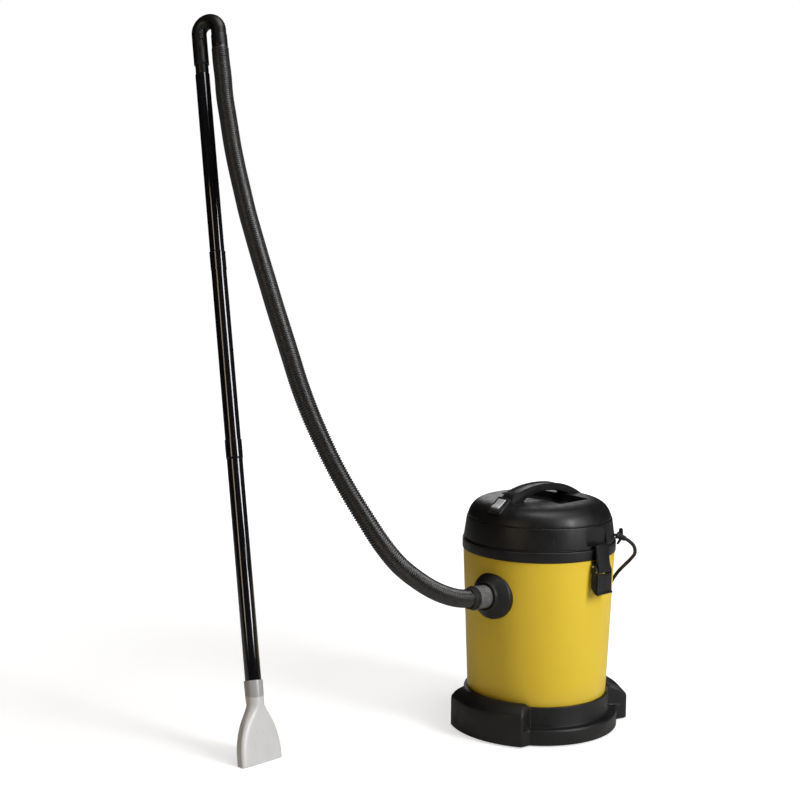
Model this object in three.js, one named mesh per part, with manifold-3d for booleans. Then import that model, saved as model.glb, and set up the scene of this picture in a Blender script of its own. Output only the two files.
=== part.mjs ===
// Drum-type extraction vacuum with a standing suction wand.
// Millimetres, +Z up. The machine's front (hose inlet and switch) faces -Y.
// The origin is on the floor, at the middle of the plan of machine and wand.
import * as THREE from 'three';
import { mergeVertices } from 'three/addons/utils/BufferGeometryUtils.js';
import Module from 'manifold-3d';

const wasm = await Module();
wasm.setup();

// ---------- driving dimensions ----------
const GAP = 0.3;                 // clearance between touching pieces
const ROUND = 40;                // sides on the big turned parts
const SMALL = 24;                // sides on the small turned parts
const MACHINE = [229.6, 215.5];  // plan position of the drum axis

const DRUM_FOOT_Z = 57;
const DRUM_TOP_Z = 368;
const DRUM_FOOT_R = 142.1;
const DRUM_TOP_R = 155;
const DRUM_WALL = 3.4;
const RIM_R = 157;
const RIM_TOP_Z = 389;

const LIP_TOP_Z = 75;            // trolley ring round the drum
const LOBE_TOP_Z = 82;
const LEDGE_Z = 34;
const RECESS_R = 150;            // trolley wall between the lobes
const LIP_R = 147.5;
const LEDGE_R = 167;
const FRONT_LOBE_R = 182;
const REAR_LOBE_R = 192;
const FRONT_LOBE_HALF = 37.5;     // half angles, degrees
const REAR_LOBE_HALF = 45;
const LOBE_STEP = 6;             // angle over which a lobe's end wall rises
const TROLLEY_WALL = 4;
const DECK_Z = 50;
const DECK_TOP_Z = 54;
const SKIRT_CLEARANCE = 3;       // trolley edge above the floor
const DRUM_SEAT_R = 143.6;

const WHEEL_R = 18;
const WHEEL_WIDTH = 13;
const CASTER_TRAIL = 12;
const CASTERS = [
  ['front_left', -45, -128],
  ['front_right', 45, -128],
  ['rear_left', -66, 114],
  ['rear_right', 66, 114],
];

const SKIRT_Z = 393;             // head, lower ring
const PARTING_Z = 435;           // groove between lower ring and cover
const SKIRT_BOTTOM_R = 154.5;
const SKIRT_TOP_R = 148.5;
const PAD_X = 147.2;             // flat pad behind each latch
const COVER_R = 146.5;
const COVER_TOP_Z = 473;
const HANDLE_WIDTH = 30;
const HANDLE_REAR = 128;
const POT_R = 80;
const POT_FOOT_Z = 306;
const INTAKE_R = 14;             // hole that the float closes

const SWITCH_Y = -124;
const SWITCH_Z = 471;
const SWITCH_SLOPE = 36;         // degrees below level, facing forward
const ROCKER_TILT = 5.5;
const ROCKER_PIVOT = -3;         // height of the rocker's pivot over the panel

const INLET_Z = 293.5;
const INLET_TURN = 4;            // degrees to the right of the centre line
const INLET_TILT = 5;            // degrees upward
const FLANGE_R = 47;
const CUFF_R = 22.7;
const CUFF_OUT = 220;            // distance of the cuff's end from the drum axis

const LATCH_PIN = [160.2, 357];  // [distance from the drum axis, height]
const LATCH_KNUCKLE = [169.5, 347];

const HOSE_R = 18;
const CORD_R = 3.75;
const CORD_EXIT_ANGLE = 37;      // degrees from +X towards +Y
const CORD_EXIT_Z = 399.6;
const RELIEF_DROOP = 22;         // degrees below level
const RELIEF_LENGTH = 20;
const RELIEF_BORE = 4.5;
const COIL_CENTRE = [-225, 202];
const COIL_TURN = 46;            // degrees; the coil's own x runs this way
const COIL_MID_R = 45;
const COIL_HALF = 15.2;
const COIL_LOW = 0.3;

const WAND_FOOT = [-197.4, -574.3];
const WAND_AXIS = new THREE.Vector3(-0.2962, 0.1253, 1).normalize();
const TUBE_LOWER = [120, 626];   // stations along the wand axis
const TUBE_MIDDLE = [590, 1014];
const TUBE_UPPER = [978, 1396];
const GRIP_COLLAR = 1420;
const GRIP_BEND = 1494;
const LEG_SPACING = 46;
const LEG_END = 1472;
const GRIP_R = 15.8;
const GRIP_BORE = 12;
const LEG_DIRECTION = new THREE.Vector3(0.88, 0.42, 0.21);
const SLOT = [1452, 1486];       // air slot's ends, stations along the wand
const SLOT_TURN = -50;           // degrees round the grip from the second leg
const NOZZLE_CUFF = 154;

// ---------- materials ----------
function finish(color, roughness, metalness = 0) {
  return new THREE.MeshStandardMaterial({ color, roughness, metalness });
}
const YELLOW = finish(0xd9b92f, 0.45);
const BLACK_SATIN = finish(0x17181a, 0.5);
const BLACK_GLOSS = finish(0x0c0d10, 0.15);
const BLACK_MATTE = finish(0x1b1b1c, 0.8);
const CUFF_GREY = finish(0x5f6062, 0.75);
const MILKY = finish(0xdcdcd8, 0.35);
const RUBBER = finish(0x222222, 0.9);
const STEEL = finish(0xb8babc, 0.3, 1);
const SILVER_CAP = finish(0xd4d6d8, 0.25);
const MOTOR_GREY = finish(0x8d9093, 0.5, 0.6);
const FOAM_WHITE = finish(0xe6e4dc, 0.8);

// ---------- solid helpers ----------
function toSolid(geometry) {
  const bare = geometry.index ? geometry.toNonIndexed() : geometry.clone();
  bare.deleteAttribute('normal');
  bare.deleteAttribute('uv');
  const merged = mergeVertices(bare, 1e-4);
  const triVerts = [];
  const index = merged.index.array;
  for (let i = 0; i < index.length; i += 3) {
    const [a, b, c] = [index[i], index[i + 1], index[i + 2]];
    if (a !== b && b !== c && c !== a) triVerts.push(a, b, c);
  }
  return new wasm.Manifold(new wasm.Mesh({
    numProp: 3,
    vertProperties: Float32Array.from(merged.attributes.position.array),
    triVerts: Uint32Array.from(triVerts),
  }));
}

function toGeometry(solid) {
  const mesh = solid.getMesh();
  const geometry = new THREE.BufferGeometry();
  geometry.setAttribute('position', new THREE.Float32BufferAttribute(mesh.vertProperties, 3));
  geometry.setIndex(new THREE.Uint32BufferAttribute(mesh.triVerts, 1));
  geometry.computeVertexNormals();
  return geometry;
}

function cut(body, ...tools) {
  return toGeometry(tools.reduce((left, tool) => left.subtract(toSolid(tool)), toSolid(body)));
}

function join(body, ...more) {
  return toGeometry(more.reduce((sum, piece) => sum.add(toSolid(piece)), toSolid(body)));
}

function common(body, other) {
  return toGeometry(toSolid(body).intersect(toSolid(other)));
}

// A turned solid about the vertical axis. The profile is [radius, height] pairs, outside going up.
function turned(profile, sides = ROUND) {
  const points = profile.map(([r, z]) => new THREE.Vector2(r, z));
  if (profile[0][0] !== 0) points.push(points[0].clone());
  const geometry = new THREE.LatheGeometry(points, sides);
  geometry.rotateX(Math.PI / 2);
  return geometry;
}

function ring(inner, outer, low, high, sides = SMALL) {
  return turned([[outer, low], [outer, high], [inner, high], [inner, low]], sides);
}

function rod(radius, low, high, sides = SMALL) {
  return turned([[0, low], [radius, low], [radius, high], [0, high]], sides);
}

function box(x0, x1, y0, y1, z0, z1) {
  const geometry = new THREE.BoxGeometry(x1 - x0, y1 - y0, z1 - z0);
  geometry.translate((x0 + x1) / 2, (y0 + y1) / 2, (z0 + z1) / 2);
  return geometry;
}

// A plate cut to a side outline of [y, z] pairs and centred on the middle plane.
function sidePlate(outline, width, bevel = 0) {
  const shape = new THREE.Shape(outline.map(([y, z]) => new THREE.Vector2(y, z)));
  const geometry = new THREE.ExtrudeGeometry(shape, {
    depth: width - 2 * bevel,
    bevelEnabled: bevel > 0,
    bevelThickness: bevel,
    bevelSize: bevel,
    bevelOffset: -bevel,
    bevelSegments: 2,
  });
  geometry.translate(0, 0, -width / 2 + bevel);
  geometry.rotateZ(Math.PI / 2);
  geometry.rotateY(Math.PI / 2);
  return geometry;
}

function circleShape(radius, sides) {
  const points = [];
  for (let i = 0; i < sides; i += 1) {
    const angle = (i / sides) * Math.PI * 2;
    points.push(new THREE.Vector2(radius * Math.cos(angle), radius * Math.sin(angle)));
  }
  return points;
}

// A round tube along a curve; solid when the inner radius is 0.
function pipe(curve, outer, inner, sides, steps) {
  const shape = new THREE.Shape(circleShape(outer, sides));
  if (inner > 0) shape.holes.push(new THREE.Path(circleShape(inner, sides)));
  return new THREE.ExtrudeGeometry(shape, { steps, bevelEnabled: false, extrudePath: curve });
}

function curveThrough(points) {
  return new THREE.CatmullRomCurve3(points.map((p) => new THREE.Vector3(...p)), false, 'centripetal');
}

function node(name, geometry, material, parent) {
  const mesh = new THREE.Mesh(geometry, material);
  mesh.name = name;
  parent.add(mesh);
  return mesh;
}

const part = new THREE.Group();
const machine = new THREE.Group();
machine.position.set(MACHINE[0], MACHINE[1], 0);
part.add(machine);

// ---------- trolley ----------
// Plan radius of the trolley at an angle from the front; the two lobes stand proud of the side walls.
function lobeAmount(fromFront) {
  const front = (FRONT_LOBE_HALF - Math.abs(fromFront)) / LOBE_STEP;
  const rear = (Math.abs(fromFront) - (180 - REAR_LOBE_HALF)) / LOBE_STEP;
  return THREE.MathUtils.clamp(Math.max(front, rear), 0, 1);
}

function trolleyPlan(sideR, inset) {
  const points = [];
  const addPoint = (fromFront) => {
    const lobeR = Math.abs(fromFront) < 90 ? FRONT_LOBE_R : REAR_LOBE_R;
    const radius = THREE.MathUtils.lerp(sideR, lobeR, lobeAmount(fromFront)) - inset;
    const angle = THREE.MathUtils.degToRad(fromFront - 90);
    points.push(new THREE.Vector2(radius * Math.cos(angle), radius * Math.sin(angle)));
  };
  const edges = [];
  for (const half of [FRONT_LOBE_HALF, 180 - REAR_LOBE_HALF]) {
    const other = half < 90 ? half - LOBE_STEP : half + LOBE_STEP;
    edges.push(half, other, -half, -other);
  }
  const angles = [...edges];
  for (let angle = -180; angle < 180; angle += 7.5) {
    if (edges.every((edge) => Math.abs(edge - angle) > 2)) angles.push(angle);
  }
  angles.sort((a, b) => a - b).forEach(addPoint);
  return new THREE.Shape(points);
}

function trolleySlab(sideR, inset, low, high) {
  const geometry = new THREE.ExtrudeGeometry(trolleyPlan(sideR, inset), {
    depth: high - low,
    bevelEnabled: false,
  });
  geometry.translate(0, 0, low);
  return geometry;
}

function makeTrolley() {
  const crown = turned([
    [0, LEDGE_Z - 1], [195, LEDGE_Z - 1], [195, 50], [184, 62], [172, 75],
    [158, LOBE_TOP_Z], [LIP_R, LOBE_TOP_Z], [LIP_R, LIP_TOP_Z], [0, LIP_TOP_Z],
  ]);
  const upper = common(trolleySlab(RECESS_R, 0, LEDGE_Z, LOBE_TOP_Z + 1), crown);
  const body = join(trolleySlab(LEDGE_R, 0, SKIRT_CLEARANCE, LEDGE_Z + 0.5), upper);
  const under = trolleySlab(RECESS_R, TROLLEY_WALL, 0, DECK_Z);
  const pocketRing = turned([
    [RECESS_R + 2, DECK_Z - 1], [186, DECK_Z - 1], [179, 61], [167.5, 72], [157, LOBE_TOP_Z - 4],
    [RECESS_R + 2, LOBE_TOP_Z - 4],
  ]);
  const pockets = common(trolleySlab(RECESS_R, TROLLEY_WALL + 1, DECK_Z - 1, LOBE_TOP_Z), pocketRing);
  const seat = rod(DRUM_SEAT_R, DECK_TOP_Z, LOBE_TOP_Z + 5, ROUND);
  const stems = CASTERS.map(([, x, y]) => rod(4.4, DECK_Z - 1, DECK_TOP_Z + 1, 12).translate(x, y, 0));
  return cut(body, under, pockets, seat, ...stems);
}
node('trolley', makeTrolley(), BLACK_SATIN, machine);

function makeFork() {
  const disc = rod(16, 44, DECK_Z - GAP, SMALL);
  const stem = rod(4, DECK_Z - GAP - 0.5, 56, 12);
  const legs = [-1, 1].map((side) => {
    const centre = side * (WHEEL_WIDTH / 2 + 2.4);
    const leg = box(centre - 1.5, centre + 1.5, 1, 20, 10, 44.5);
    const eye = rod(2.8, -20, 20, 12).rotateY(Math.PI / 2).translate(0, CASTER_TRAIL, WHEEL_R);
    return cut(leg, eye);
  });
  return join(disc, stem, ...legs);
}

function makeWheel() {
  const half = WHEEL_WIDTH / 2;
  const profile = [
    [2.8, -half], [WHEEL_R - 2, -half], [WHEEL_R, -half + 2.5],
    [WHEEL_R, half - 2.5], [WHEEL_R - 2, half], [2.8, half],
  ];
  const wheel = turned(profile, SMALL);
  wheel.rotateY(Math.PI / 2);
  return wheel.translate(0, CASTER_TRAIL, WHEEL_R);
}

for (const [corner, x, y] of CASTERS) {
  const caster = new THREE.Group();
  caster.position.set(x, y, 0);
  machine.add(caster);
  node(`caster_fork_${corner}`, makeFork(), BLACK_SATIN, caster);
  node(`caster_wheel_${corner}`, makeWheel(), RUBBER, caster);
  const axle = rod(2.5, -WHEEL_WIDTH / 2 - 5.4, WHEEL_WIDTH / 2 + 5.4, 12);
  axle.rotateY(Math.PI / 2).translate(0, CASTER_TRAIL, WHEEL_R);
  node(`caster_axle_${corner}`, axle, STEEL, caster);
}

// ---------- drum and rim ----------
function inletFrame(geometry) {
  geometry.rotateX(Math.PI / 2 - THREE.MathUtils.degToRad(INLET_TILT));
  geometry.rotateZ(THREE.MathUtils.degToRad(INLET_TURN));
  return geometry.translate(0, 0, INLET_Z - 155 * Math.sin(THREE.MathUtils.degToRad(INLET_TILT)));
}

const drumShell = turned([
  [0, DRUM_FOOT_Z], [DRUM_FOOT_R, DRUM_FOOT_Z], [DRUM_TOP_R, DRUM_TOP_Z - GAP],
  [DRUM_TOP_R - DRUM_WALL, DRUM_TOP_Z - GAP], [DRUM_FOOT_R - DRUM_WALL, DRUM_FOOT_Z + 3.5],
  [0, DRUM_FOOT_Z + 3.5],
]);
node('drum', cut(drumShell, inletFrame(rod(22.3, 100, 190))), YELLOW, machine);

node('tank_rim', turned([
  [149, DRUM_TOP_Z], [RIM_R - 1, DRUM_TOP_Z], [RIM_R, DRUM_TOP_Z + 2], [RIM_R, RIM_TOP_Z - 2],
  [RIM_R - 1.5, RIM_TOP_Z], [149, RIM_TOP_Z],
]), BLACK_SATIN, machine);

// ---------- hose inlet ----------
function makeFlange() {
  const dome = inletFrame(turned([
    [0, 120], [FLANGE_R, 120], [FLANGE_R, 153], [44.5, 158], [37, 164.5], [29, 169.5],
    [28, 172.5], [24.6, 172.5], [24.6, 166.5], [20.5, 166.5], [20.5, 121], [0, 121],
  ], 32));
  const drumOutside = turned([
    [0, 150], [DRUM_FOOT_R + (150 - DRUM_FOOT_Z) * 0.0415 + GAP, 150],
    [DRUM_TOP_R + 0.6, DRUM_TOP_Z + 4], [0, DRUM_TOP_Z + 4],
  ]);
  const spigot = inletFrame(ring(19, 21.7, 133, 161, 32));
  return join(cut(dome, drumOutside), spigot);
}
node('inlet_flange', makeFlange(), BLACK_SATIN, machine);
node('inlet_lock_ring', inletFrame(ring(22, 29, 137, 143)), BLACK_MATTE, machine);

function makeDeflector() {
  const bendR = 22;
  const start = -132;
  const points = [[0, start, 0]];
  for (let i = 1; i <= 8; i += 1) {
    const angle = (i / 8) * (Math.PI / 2);
    points.push([0, start + 2 + bendR * Math.sin(angle), -bendR * (1 - Math.cos(angle))]);
  }
  points.push([0, start + 2 + bendR, -bendR - 26]);
  const elbow = pipe(curveThrough(points), 20, 17, 16, 12);
  elbow.rotateZ(THREE.MathUtils.degToRad(INLET_TURN));
  return elbow.translate(0, 0, INLET_Z - 2);
}
node('inlet_deflector', makeDeflector(), BLACK_MATTE, machine);

node('hose_inlet_cuff', inletFrame(turned([
  [17, 167], [CUFF_R, 167], [CUFF_R, 208], [CUFF_R + 1.6, 210], [CUFF_R + 1.6, 213.5], [17, 213.5],
], SMALL)), CUFF_GREY, machine);
node('hose_inlet_collar', inletFrame(ring(18.9, 21.4, 213.8, CUFF_OUT + 10)), BLACK_MATTE, machine);

// ---------- head ----------
node('head_seal', ring(150, 152.5, RIM_TOP_Z + GAP, 392.3, ROUND), RUBBER, machine);

node('motor_pan', turned([
  [INTAKE_R, POT_FOOT_Z], [POT_R, POT_FOOT_Z], [POT_R, 392.6], [152.5, 392.6], [152.5, 395.6],
  [POT_R - 3, 395.6], [POT_R - 3, POT_FOOT_Z + 3], [INTAKE_R, POT_FOOT_Z + 3],
]), BLACK_MATTE, machine);

function makeHeadRing() {
  const body = turned([
    [140, 396], [153, 396], [153, SKIRT_Z], [SKIRT_BOTTOM_R, SKIRT_Z], [SKIRT_TOP_R, PARTING_Z - GAP],
    [144.4, PARTING_Z - GAP], [144.4, 399.5], [140, 399.5],
  ]);
  const arch = [
    [-31, 396.2], [31, 396.2], [30, 408], [24, 420], [12, 430], [-12, 430], [-24, 420], [-30, 408],
  ];
  const pads = [-1, 1].map((side) => sidePlate(arch, 20).translate(side * (PAD_X + 10), 0, 0));
  return cut(body, ...pads);
}
node('head_ring', makeHeadRing(), BLACK_SATIN, machine);

const COVER_OUTSIDE = [
  [COVER_R, PARTING_Z], [145, 442], [141.5, 450], [134.5, 459], [124, 466], [108, 470.8], [80, 472.8],
];

// Side outline of the hand recess under the handle; its front wall slopes.
const RECESS_HALF = 82;
const RECESS_SIDE = [[-33, 520], [-33, 472], [-16, 457], [61, 457], [61, 520]];

function recessTool(grow) {
  const side = RECESS_SIDE.map(([y, z]) => [y + Math.sign(y - 10) * grow, z < 500 ? z - grow : z]);
  return toSolid(sidePlate(side, 2 * (RECESS_HALF + grow)));
}

function makeCover() {
  const outside = turned([[0, PARTING_Z], ...COVER_OUTSIDE, [0, COVER_TOP_Z]]);
  const inner = COVER_OUTSIDE.map(([r, z]) => [r - 3.2, z - 3.2]);
  const inside = turned([[0, PARTING_Z - 3.2], ...inner, [0, COVER_TOP_Z - 3.2]]);
  const hollow = toSolid(inside).subtract(recessTool(3.2).intersect(toSolid(outside)));
  const platform = toSolid(onSwitchPanel(box(-17, 17, -21, 21, -15, 0)));
  const handle = toSolid(sidePlate(handleOutline(), HANDLE_WIDTH)).subtract(hollow);
  const well = toSolid(onSwitchPanel(box(-11.5, 11.5, -17, 17, -24, 40)));
  const above = toSolid(onSwitchPanel(box(-17, 17, -21, 21, 0, 40)));
  const shell = toSolid(outside).subtract(hollow).subtract(recessTool(0)).add(handle).add(platform);
  return toGeometry(shell.subtract(well).subtract(above));
}

function handleOutline() {
  const top = new THREE.SplineCurve([
    [-106, 474], [-96, 485], [-80, 492.5], [-55, 498.5], [-18, 502], [18, 501],
    [50, 496.5], [88, 483.5], [118, 467], [HANDLE_REAR, 459],
  ].map(([y, z]) => new THREE.Vector2(y, z))).getPoints(18);
  const under = new THREE.SplineCurve([
    [HANDLE_REAR - 6, 446], [104, 452], [84, 467.5], [48, 481.5], [14, 486.5],
    [-18, 486.5], [-48, 481.5], [-66, 473.5], [-78, 462],
  ].map(([y, z]) => new THREE.Vector2(y, z))).getPoints(16);
  return [...top, ...under, new THREE.Vector2(-104, 462)].map((p) => [p.x, p.y]);
}

// Moves a piece built flat at the origin onto the switch's sloping panel, front end low.
function onSwitchPanel(geometry) {
  geometry.rotateX(THREE.MathUtils.degToRad(SWITCH_SLOPE));
  return geometry.translate(0, SWITCH_Y, SWITCH_Z);
}
node('head_cover', makeCover(), BLACK_SATIN, machine);

const bezel = cut(box(-14, 14, -20, 20, GAP, 2.6), box(-10.3, 10.3, -15.3, 15.3, -1, 4));
const bezelBody = cut(box(-11.2, 11.2, -16.6, 16.6, -16, GAP + 0.5), box(-10.3, 10.3, -15.3, 15.3, -13, 4));
node('switch_housing', onSwitchPanel(join(bezel, bezelBody)), BLACK_MATTE, machine);

// The rocker turns about ROCKER_PIVOT, and stands with its front end up: switched off.
function makeRocker() {
  const outline = [[-13.4, 0], [-8, -5], [8, -5], [13.4, 0], [13.4, 7.6], [0, 5.2], [-13.4, 7.6]];
  const rocker = sidePlate(outline, 20).rotateX(-THREE.MathUtils.degToRad(ROCKER_TILT));
  return onSwitchPanel(rocker.translate(0, 0, ROCKER_PIVOT));
}
node('power_rocker', makeRocker(), SILVER_CAP, machine);

// ---------- motor and float valve ----------
node('fan_gasket', ring(44, 70, POT_FOOT_Z + 3 + GAP, 311.7, 32), RUBBER, machine);
node('fan_housing', turned([[36, 312], [71, 312], [73, 314], [73, 350], [47, 352], [36, 352]], 32),
  MOTOR_GREY, machine);
node('motor_can', turned([[0, 352.3], [45, 352.3], [46, 356], [46, 420], [40, 427], [0, 427]], 32),
  STEEL, machine);

function makeCage() {
  const shell = turned([
    [0, 218], [26, 218], [26, 302.5], [35, 302.5], [35, POT_FOOT_Z - GAP], [23.5, POT_FOOT_Z - GAP],
    [23.5, 220.5], [0, 220.5],
  ], 32);
  const windows = [0, 60, 120].map((angle) => {
    const slot = box(-40, 40, -7, 7, 226, 292);
    return slot.rotateZ(THREE.MathUtils.degToRad(angle));
  });
  return cut(shell, ...windows);
}
node('float_cage', makeCage(), BLACK_MATTE, machine);
node('float_ball', new THREE.SphereGeometry(19, 16, 10).rotateX(Math.PI / 2).translate(0, 0, 240.2),
  FOAM_WHITE, machine);

// ---------- latches ----------
// A draw latch: the lever turns on a pin in a bracket on the drum and carries the hook plate.
// Outlines are [distance from the drum axis, height] pairs, for the latch on the +X side.
function latchPlate(outline, width) {
  return sidePlate(outline, width).rotateZ(-Math.PI / 2);
}

function crossPin(radius, half, [r, z]) {
  return rod(radius, -half, half, 12).rotateX(Math.PI / 2).translate(r, 0, z);
}

function addLatch(side, angle) {
  const latch = new THREE.Group();
  latch.rotation.z = angle;
  machine.add(latch);

  const plate = box(150, 157.4, -19, 19, 343, 365);
  const ears = [-1, 1].map((s) => box(157, 163, s * 17.6 - 1.3, s * 17.6 + 1.3, 351.5, 362));
  const drumOutside = turned([[0, 340], [154.15, 340], [155.4, 370], [0, 370]], 96);
  const bracket = cut(join(plate, ...ears), drumOutside, crossPin(2.4, 30, LATCH_PIN));
  node(`latch_bracket_${side}`, bracket, BLACK_SATIN, latch);
  node(`latch_pin_${side}`, crossPin(2.1, 22.3, LATCH_PIN), STEEL, latch);

  const cheeks = [-1, 1].map((s) => latchPlate([
    [157, 361], [164, 362], [169, 356], [173.2, 347], [172.4, 304], [174.8, 302], [174.8, 300],
    [166, 302], [156, 314],
  ], 3).translate(0, s * 20.8, 0));
  const face = latchPlate([
    [172.9, 341.5], [172.4, 305], [176, 303.4], [176, 301], [169.4, 301], [169.4, 341.5],
  ], 44.6);
  const lever = cut(join(face, ...cheeks), crossPin(2.4, 30, LATCH_PIN), crossPin(2.1, 30, LATCH_KNUCKLE));
  node(`latch_lever_${side}`, lever, BLACK_SATIN, latch);

  const [r, z] = LATCH_KNUCKLE;
  const strap = latchPlate([
    [163.7, 353], [163.7, 366], [161, 396.2], [157.2, 396.2], [157.2, 399], [163.6, 399],
    [165, 397], [171.4, 359], [r + 3.2, z + 2.5], [r - 3, z - 2.5],
  ], 36);
  const knuckle = crossPin(4, 18, LATCH_KNUCKLE);
  const hook = cut(join(strap, knuckle), crossPin(2.1, 30, [r, z]));
  node(`latch_hook_${side}`, hook, BLACK_SATIN, latch);
  node(`latch_hook_pin_${side}`, crossPin(1.8, 22.3, LATCH_KNUCKLE), STEEL, latch);
}
addLatch('right', 0);
addLatch('left', Math.PI);

// ---------- mains cord ----------
const cordExit = new THREE.Group();
cordExit.rotation.z = THREE.MathUtils.degToRad(CORD_EXIT_ANGLE);
machine.add(cordExit);

function makeRelief() {
  const relief = turned([
    [RELIEF_BORE, 0], [7.5, 0], [7.5, 3.5], [6.8, 3.8], [5.6, RELIEF_LENGTH],
    [RELIEF_BORE, RELIEF_LENGTH],
  ], 16);
  relief.rotateY(Math.PI / 2 + THREE.MathUtils.degToRad(RELIEF_DROOP));
  return relief.translate(SKIRT_BOTTOM_R + 2.6, 0, CORD_EXIT_Z);
}
node('cord_strain_relief', makeRelief(), BLACK_MATTE, cordExit);

function makeCordHook() {
  const outline = [
    [150, 398], [163, 398], [163.5, 408], [167.5, 411], [171.5, 408], [172, 396], [170, 386],
    [162, 375], [158.8, 377], [165, 388], [164, 392], [150, 393.8],
  ];
  const skirt = turned([
    [0, 392], [SKIRT_BOTTOM_R + GAP, 392], [SKIRT_TOP_R + GAP, PARTING_Z], [0, PARTING_Z],
  ], 96);
  return cut(latchPlate(outline, 5).rotateZ(THREE.MathUtils.degToRad(7)), skirt);
}
node('cord_hook', makeCordHook(), BLACK_SATIN, cordExit);

const CORD_ROUTE = [
  [127.8, 96.3, 398.4], [135.8, 102.3, 394.4], [142.5, 107.4, 391], [148.4, 122, 378], [140.5, 139, 359],
  [119.5, 153.5, 340], [97, 163, 322], [75.7, 167.5, 302], [61.5, 167.2, 282], [43.9, 166.2, 255],
  [28, 168, 225], [14, 172, 190], [3, 178, 150], [-6, 186, 110], [-14, 195, 72],
  [-28, 204, 40], [-48, 210, 16], [-74, 212, 5], [-101, 209, 4.1], [-128, 209, 4.1],
  [-151, 220.6, 4.1], [-165.8, 234.5, 4.1], [-180, 248.2, 4.1],
];
node('power_cord', pipe(curveThrough(CORD_ROUTE), CORD_R, 0, 10, 44), BLACK_MATTE, machine);

const coil = new THREE.Group();
coil.position.set(COIL_CENTRE[0], COIL_CENTRE[1], 0);
coil.rotation.z = THREE.MathUtils.degToRad(COIL_TURN);
machine.add(coil);
const coilOuter = COIL_MID_R + COIL_HALF;
const coilTop = COIL_LOW + 2 * COIL_HALF;
node('cord_coil', ring(COIL_MID_R - COIL_HALF, coilOuter, COIL_LOW, coilTop, 36), BLACK_MATTE, coil);

// The tie is a strap round the coil's section, on the side away from the machine's cord.
function makeTie() {
  const inner = COIL_MID_R - COIL_HALF - 1;
  const outer = coilOuter + 1;
  const top = coilTop + 1;
  const strap = box(-outer - 1.2, -inner + 1.2, -6, 6, 0, top + 1.2);
  const passage = ring(inner, outer, -1, top, 36);
  return cut(strap, passage);
}
node('cord_tie', makeTie(), BLACK_MATTE, coil);

const TAIL_ROUTE = [
  [-4, coilOuter + CORD_R + GAP, 4.1], [-20, coilOuter + CORD_R + 1, 6], [-36, coilOuter + CORD_R + 1, 11],
  [-52, coilOuter + CORD_R + 1, 14], [-60, coilOuter + CORD_R + 1, 14],
];
node('power_cord_tail', pipe(curveThrough(TAIL_ROUTE), CORD_R, 0, 10, 6), BLACK_MATTE, coil);

function makePlug() {
  const sleeve = turned([
    [CORD_R + GAP, 50], [6, 50], [8, 62], [8, 66], [0, 66], [0, 61], [CORD_R + GAP, 61],
  ], 16);
  const body = turned([[0, 65], [9, 65], [13.8, 70], [13.8, 96], [12.4, 98], [0, 98]], 16);
  const blades = [-1, 1].map((side) => box(side * 6.35 - 0.8, side * 6.35 + 0.8, -3.2, 3.2, 97, 115));
  const ground = rod(2.4, 97, 118, 10).translate(0, 8, 0);
  const plug = join(sleeve, body, ...blades, ground);
  plug.rotateY(-Math.PI / 2);
  return plug.translate(0, coilOuter + CORD_R + 1, 14);
}
node('power_plug', makePlug(), BLACK_MATTE, coil);

// ---------- wand ----------
// The wand's own frame: z along the tube from the floor up, x towards the grip's second leg.
const legDirection = LEG_DIRECTION.clone();
legDirection.addScaledVector(WAND_AXIS, -LEG_DIRECTION.dot(WAND_AXIS)).normalize();
const sideDirection = new THREE.Vector3().crossVectors(WAND_AXIS, legDirection);
const wand = new THREE.Group();
wand.position.set(WAND_FOOT[0], WAND_FOOT[1], 0);
wand.quaternion.setFromRotationMatrix(
  new THREE.Matrix4().makeBasis(legDirection, sideDirection, WAND_AXIS),
);
machine.add(wand);

const NOZZLE_STATIONS = [
  // station, half width, half depth, squareness
  [-24, 48.5, 16, 5], [20, 48, 15.7, 5], [40, 46, 15.4, 5], [60, 43, 15, 4.5], [70, 36.5, 15, 4],
  [80, 28, 15.3, 3], [90, 20.5, 15.8, 2.4], [100, 17, 16.2, 2.1], [107, 16.6, 16.6, 2],
  [120, 18.2, 18.2, 2], [150, 18.5, 18.5, 2], [NOZZLE_CUFF, 18.5, 18.5, 2],
];

function loft(stations) {
  const profile = [[0, stations[0][0]], ...stations.map(([z]) => [1, z]), [0, stations.at(-1)[0]]];
  const geometry = turned(profile, 32);
  const position = geometry.attributes.position;
  for (let i = 0; i < position.count; i += 1) {
    const [x, y, z] = [position.getX(i), position.getY(i), position.getZ(i)];
    const radius = Math.hypot(x, y);
    if (radius < 0.5) continue;
    const [, halfWidth, halfDepth, square] = stations.reduce((best, next) => (
      Math.abs(next[0] - z) < Math.abs(best[0] - z) ? next : best
    ));
    const curl = (value) => Math.sign(value) * Math.abs(value) ** (2 / square);
    position.setXY(i, halfWidth * curl(x), halfDepth * curl(y));
  }
  return geometry;
}

function makeNozzle() {
  const outside = loft(NOZZLE_STATIONS);
  const bore = NOZZLE_STATIONS.filter(([z]) => z < 110).map(([z, w, d, n]) => [z, w - 2.6, d - 2.6, n]);
  bore[0][0] = -30;
  bore.push([116, 14, 14, 2], [116.1, 16.3, 16.3, 2], [NOZZLE_CUFF + 5, 16.3, 16.3, 2]);
  const lip = loft([[14, 50, 17.6, 5], [18, 50, 17.6, 5]]);
  const body = cut(join(outside, lip), loft(bore));
  const width = new THREE.Vector3(0, 1, 0);
  body.rotateZ(Math.atan2(width.dot(sideDirection), width.dot(legDirection)));
  wand.updateWorldMatrix(true, false);
  const below = box(-600, 600, -600, 600, -200, 0);
  below.translate(WAND_FOOT[0] + MACHINE[0], WAND_FOOT[1] + MACHINE[1], 0);
  below.applyMatrix4(wand.matrixWorld.clone().invert());
  return cut(body, below);
}
node('nozzle', makeNozzle(), MILKY, wand);

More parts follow.
